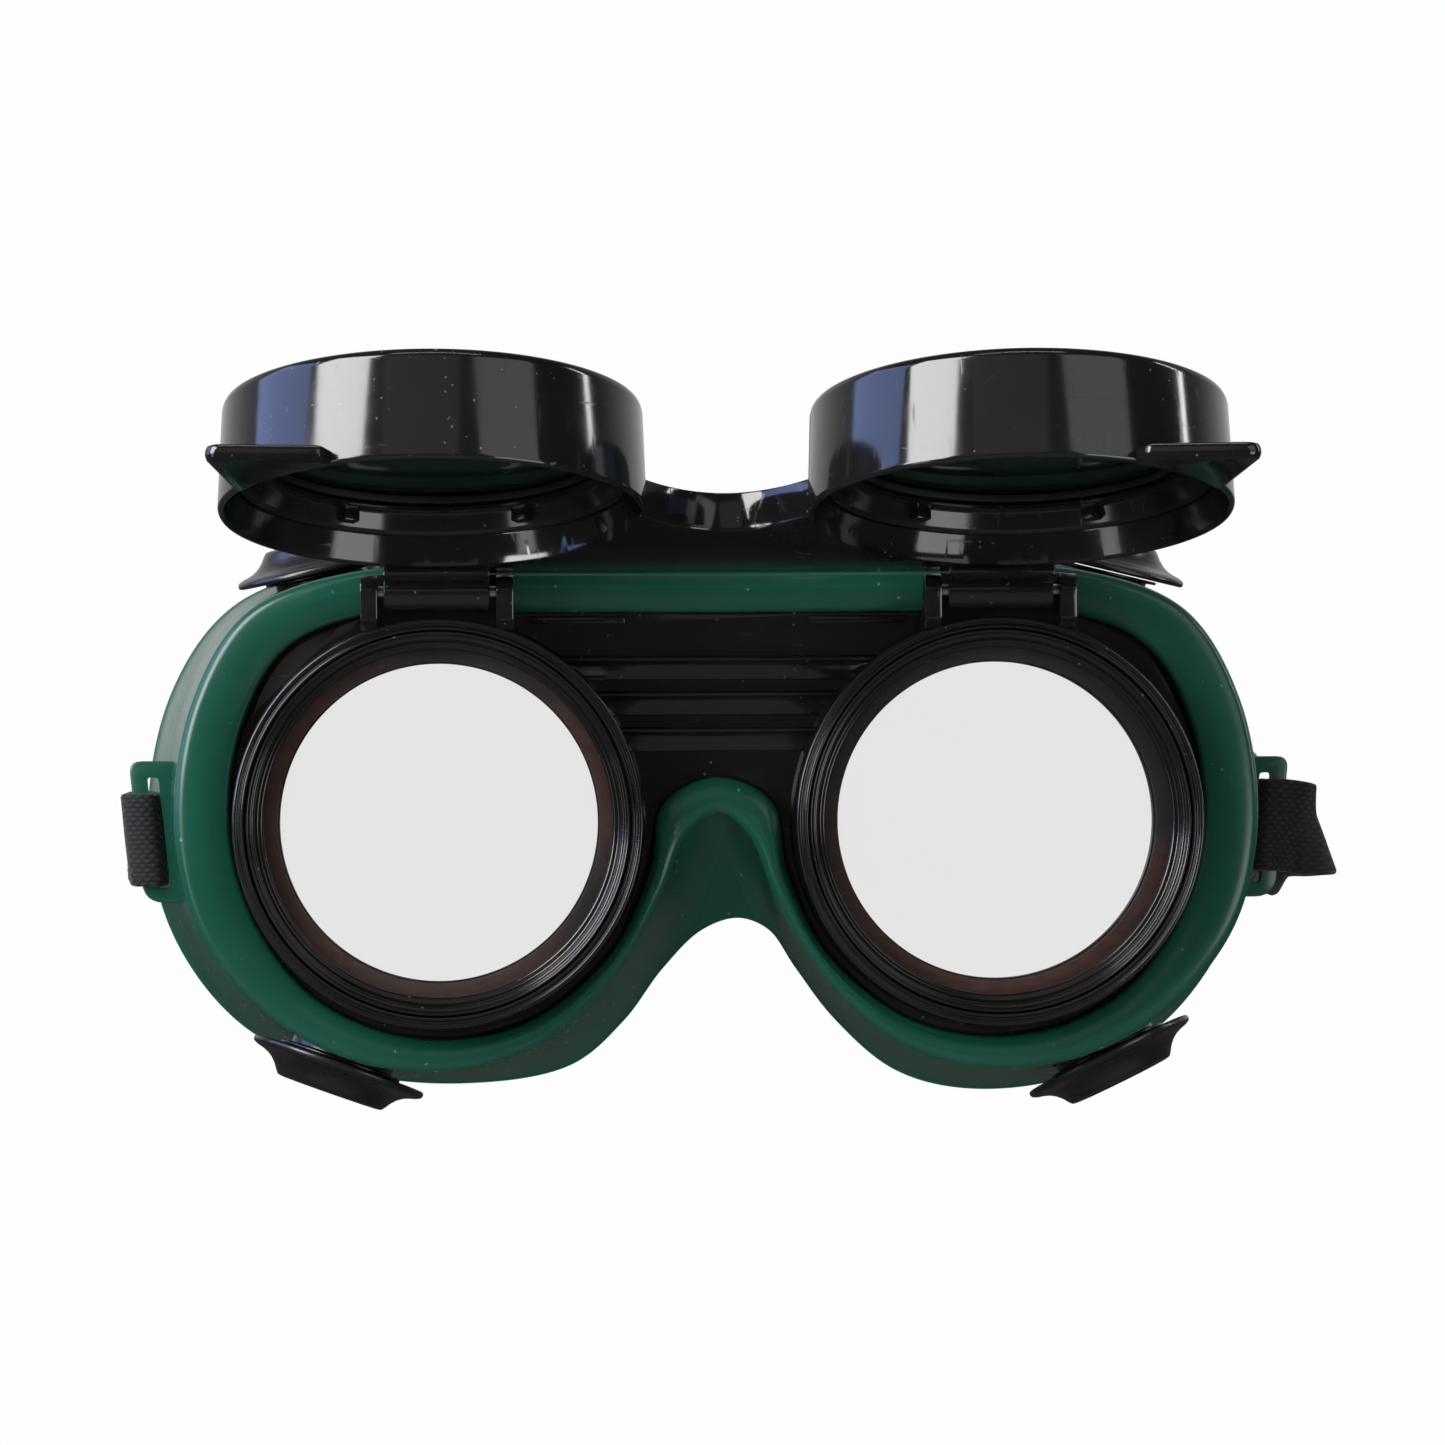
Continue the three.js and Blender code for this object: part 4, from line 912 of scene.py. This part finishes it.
def make_strap():
    points = strap_points()
    path = open_curve([p[:3] for p in points])
    steps = 14
    section = band_section()
    rings, lengths = [], []
    count = (len(points) - 1) * steps
    for i in range(count + 1):
        key = i / steps
        middle = Vector(path(key))
        along = Vector(path(min(key + 0.02, len(points) - 1)) - path(max(key - 0.02, 0))).normalized()
        before, after = points[int(key)][3], points[min(int(key) + 1, len(points) - 1)][3]
        share = key - int(key)
        tilt = math.radians(before + (after - before) * share * share * (3 - 2 * share))
        up = Vector((-math.sin(tilt), 0, math.cos(tilt)))
        across = (up - along * up.dot(along)).normalized()
        through = along.cross(across).normalized()
        lengths.append(lengths[-1] + (middle - rings[-1][0]).length if rings else 0.0)
        rings.append((middle, [middle + across * a + through * t for a, t in section]))
    strap = lofted([ring for _, ring in rings])
    uv = strap.data.uv_layers.new(name="band")
    size = len(section)
    for loop in strap.data.loops:
        ring, corner = divmod(loop.vertex_index, size)
        uv.data[loop.index].uv = (lengths[ring], section[corner][0] + STRAP_W)
    place(strap, "strap_band", "mask", ELASTIC, ["strap"], angle=60)
    make_stitches(rings)


def make_stitches(rings):
    """The box of stitches that holds the band's sewn end to the layer outside it."""
    threads = []
    start, end = rings[8][0], rings[22][0]
    along = (end - start).normalized()
    out = Vector((-1, 0, 0))
    across = along.cross(out).normalized()
    length, half = 9.0, STRAP_W / 2 - 1.8
    pitch, first, last = 1.5, 0.15, 1.3
    surface = out * 2.42
    path = [
        (0, -half), (length, -half), (length, half), (0, half), (0, -half),
        (length, half), (0, half), (length, -half),
    ]
    for (a0, b0), (a1, b1) in zip(path, path[1:]):
        span = math.hypot(a1 - a0, b1 - b0)
        for k in range(int(span / pitch)):
            t0, t1 = (k * pitch + first) / span, (k * pitch + last) / span
            ends = [start + along * (a0 + (a1 - a0) * t) + across * (b0 + (b1 - b0) * t) for t in (t0, t1)]
            threads.append(thread(*ends, surface))
    place(together(threads), "strap_stitches", "mask", THREAD, [])


def thread(start, end, lift):
    """One stitch: a short round thread that dips into the band at both ends."""
    rings = []
    ahead = (end - start).normalized()
    side = ahead.cross(lift).normalized()
    rise = lift.normalized()
    for t, height in ((0, -0.25), (0.12, 0.0), (0.5, 0.12), (0.88, 0.0), (1, -0.25)):
        middle = start.lerp(end, t) + lift + rise * height
        angles = np.arange(6) * math.pi / 3
        rings.append([middle + side * (0.16 * math.cos(a)) + rise * (0.16 * math.sin(a)) for a in angles])
    return lofted(rings)


def thread_material():
    """Twisted polyester thread."""
    g = Graph("black_thread", IOR=1.45, Sheen_Weight=0.2)
    twist = g.noise(3500, 3, 0.6, g.stretched(1, 1, 2))
    color = g.blend(g.between(twist, 0.3, 0.7), (0.010, 0.010, 0.011, 1), (0.045, 0.044, 0.046, 1))
    return g.finish(color, g.between(twist, 0.3, 0.7, 0.45, 0.65), g.bump(twist, 0.4, 0.0001))


THREAD = thread_material()


def make_slider():
    """The buckle: a rail above and below the doubled band, two bars outside it and one inside."""
    play, rail_w, bar_t, length, at = 0.5, 2, 1.6, 16, 18
    half = STRAP_W / 2 + play
    inside, outside = -STRAP_T / 2 - play, LAYER + STRAP_T / 2 + play

    def rail(side):
        low, high = sorted((side * half, side * (half + rail_w)))
        return block(-length / 2, length / 2, inside - bar_t, outside + bar_t, low, high, 0.5)

    def cross(x, y):
        reach = half + rail_w / 2
        return block(x - bar_t, x + bar_t, y, y + bar_t, -reach, reach, 0.5)

    end = length / 2 - bar_t
    bars = [cross(-end, outside), cross(end, outside), cross(0, inside - bar_t)]
    slider = combined(rail(-1), [rail(1), *bars])
    turn = Matrix((SLIDE_ALONG, SLIDE_OUT, SLIDE_ALONG.cross(SLIDE_OUT))).transposed().to_4x4()
    moved(slider, *(SLIDE_FROM + SLIDE_ALONG * at), turn=turn)
    place(slider, "strap_slider_piece", "slider", PLASTIC, ["strap_slider"])


make_mask()
make_cover_plate()
make_fixed_lenses()
make_flip_front()
make_shade_lenses()
make_pins()
make_vents()
make_strap()
make_slider()


# Studio
def make_floor():
    """A plain pale round floor, far enough below the goggles to stay out of the camera's view. The
    goggles don't mirror it."""
    work = bmesh.new()
    bmesh.ops.create_circle(work, cap_ends=True, segments=96, radius=0.6)
    mesh = bpy.data.meshes.new("floor")
    work.to_mesh(mesh)
    work.free()
    floor = bpy.data.objects.new("floor", mesh)
    floor.location.z = -0.25
    bpy.context.scene.collection.objects.link(floor)
    g = Graph("pale_floor")
    grain = g.noise(30, 4, 0.6)
    color = g.blend(g.between(grain, 0.3, 0.7), (0.80, 0.80, 0.79, 1), (0.84, 0.84, 0.83, 1))
    mesh.materials.append(g.finish(color, g.between(grain, 0.3, 0.7, 0.6, 0.75)))
    floor.visible_glossy = False


LIGHT_DISTANCE = 0.9
LIGHTS = (  # name, azimuth, elevation, width, height, radiance, colour
    ("key_left", -54, 26, 0.42, 0.8, 15, (1, 1, 1)),
    ("blue_left", -92, 20, 0.55, 0.7, 4.0, (0.35, 0.5, 1.0)),
    ("warm_front", -8, 26, 0.6, 0.6, 0.32, (1.0, 0.92, 0.82)),
    ("fill_right", 42, 24, 0.5, 0.6, 1.3, (1, 1, 1)),
    ("line_right", 97, 20, 0.05, 0.6, 14, (1, 1, 1)),
    ("line_top", 0, 64, 0.6, 0.03, 9, (1, 1, 1)),
    ("low_left", -54, -9, 0.16, 0.28, 3.2, (1, 1, 1)),
    ("low_right", 43, -9, 0.42, 0.28, 4, (1, 1, 1)),
)


def softbox(name, azimuth, elevation, width, height, radiance, color):
    """A panel that faces the goggles. Azimuth 0 is in front of them, and positive to the right."""
    a, e = math.radians(azimuth), math.radians(elevation)
    away = Vector((math.sin(a) * math.cos(e), -math.cos(a) * math.cos(e), math.sin(e)))
    data = bpy.data.lights.new(name, "AREA")
    data.shape, data.size, data.size_y, data.color = "RECTANGLE", width, height, color
    data.energy = radiance * math.pi * width * height
    lamp = bpy.data.objects.new(name, data)
    lamp.visible_camera = False
    stand = Matrix.Translation(Vector((0, -0.05, 0.02)) + away * LIGHT_DISTANCE)
    lamp.matrix_world = stand @ away.to_track_quat("Z", "Y").to_matrix().to_4x4()
    bpy.context.scene.collection.objects.link(lamp)


def make_world():
    """A dark room with a pale band behind the goggles, to the sides, and a dim glow low in front of
    them. It lights matt surfaces evenly, and the camera sees it white."""
    world = bpy.data.worlds.new("studio")
    world.use_nodes = True
    bpy.context.scene.world = world
    tree = world.node_tree

    def add(kind, links=(), **settings):
        node = tree.nodes.new(kind)
        for key, value in settings.items():
            setattr(node, key, value)
        for source, socket in links:
            tree.links.new(source, node.inputs[socket])
        return node

    def ramp(value, low, high):
        made = add("ShaderNodeMapRange", [(value, "Value")], interpolation_type="SMOOTHSTEP")
        made.inputs["From Min"].default_value, made.inputs["From Max"].default_value = low, high
        return made.outputs[0]

    def product(a, b):
        return add("ShaderNodeMath", [(a, 0), (b, 1)], operation="MULTIPLY").outputs[0]

    def layer(share, under, over):
        made = add("ShaderNodeMix", [(share, 0)], data_type="RGBA")
        for value, socket in ((under, made.inputs[6]), (over, made.inputs[7])):
            if isinstance(value, tuple):
                socket.default_value = value
            else:
                tree.links.new(value, socket)
        return made.outputs[2]

    x, y, z = add("ShaderNodeSeparateXYZ", [(add("ShaderNodeTexCoord").outputs["Generated"], 0)]).outputs
    side = add("ShaderNodeMath", [(x, 0)], operation="ABSOLUTE").outputs[0]
    behind = product(product(ramp(y, 0.1, 0.95), ramp(side, 0.0, 0.2)), ramp(z, -0.12, 0.1))
    below = product(ramp(y, 0.1, -0.5), ramp(z, -0.15, -0.45))
    room = layer(behind, (0.06, 0.056, 0.05, 1), (0.7, 0.7, 0.7, 1))
    room = layer(below, room, (0.24, 0.235, 0.25, 1))
    ray = add("ShaderNodeLightPath").outputs
    room = layer(ray["Is Diffuse Ray"], room, (0.3, 0.3, 0.3, 1))
    seen = layer(ray["Is Camera Ray"], room, (0.985, 0.985, 0.985, 1))
    tree.links.new(seen, tree.nodes["Background"].inputs[0])


make_floor()
make_world()
for light in LIGHTS:
    softbox(*light)
bpy.context.scene.view_settings.view_transform = "Standard"
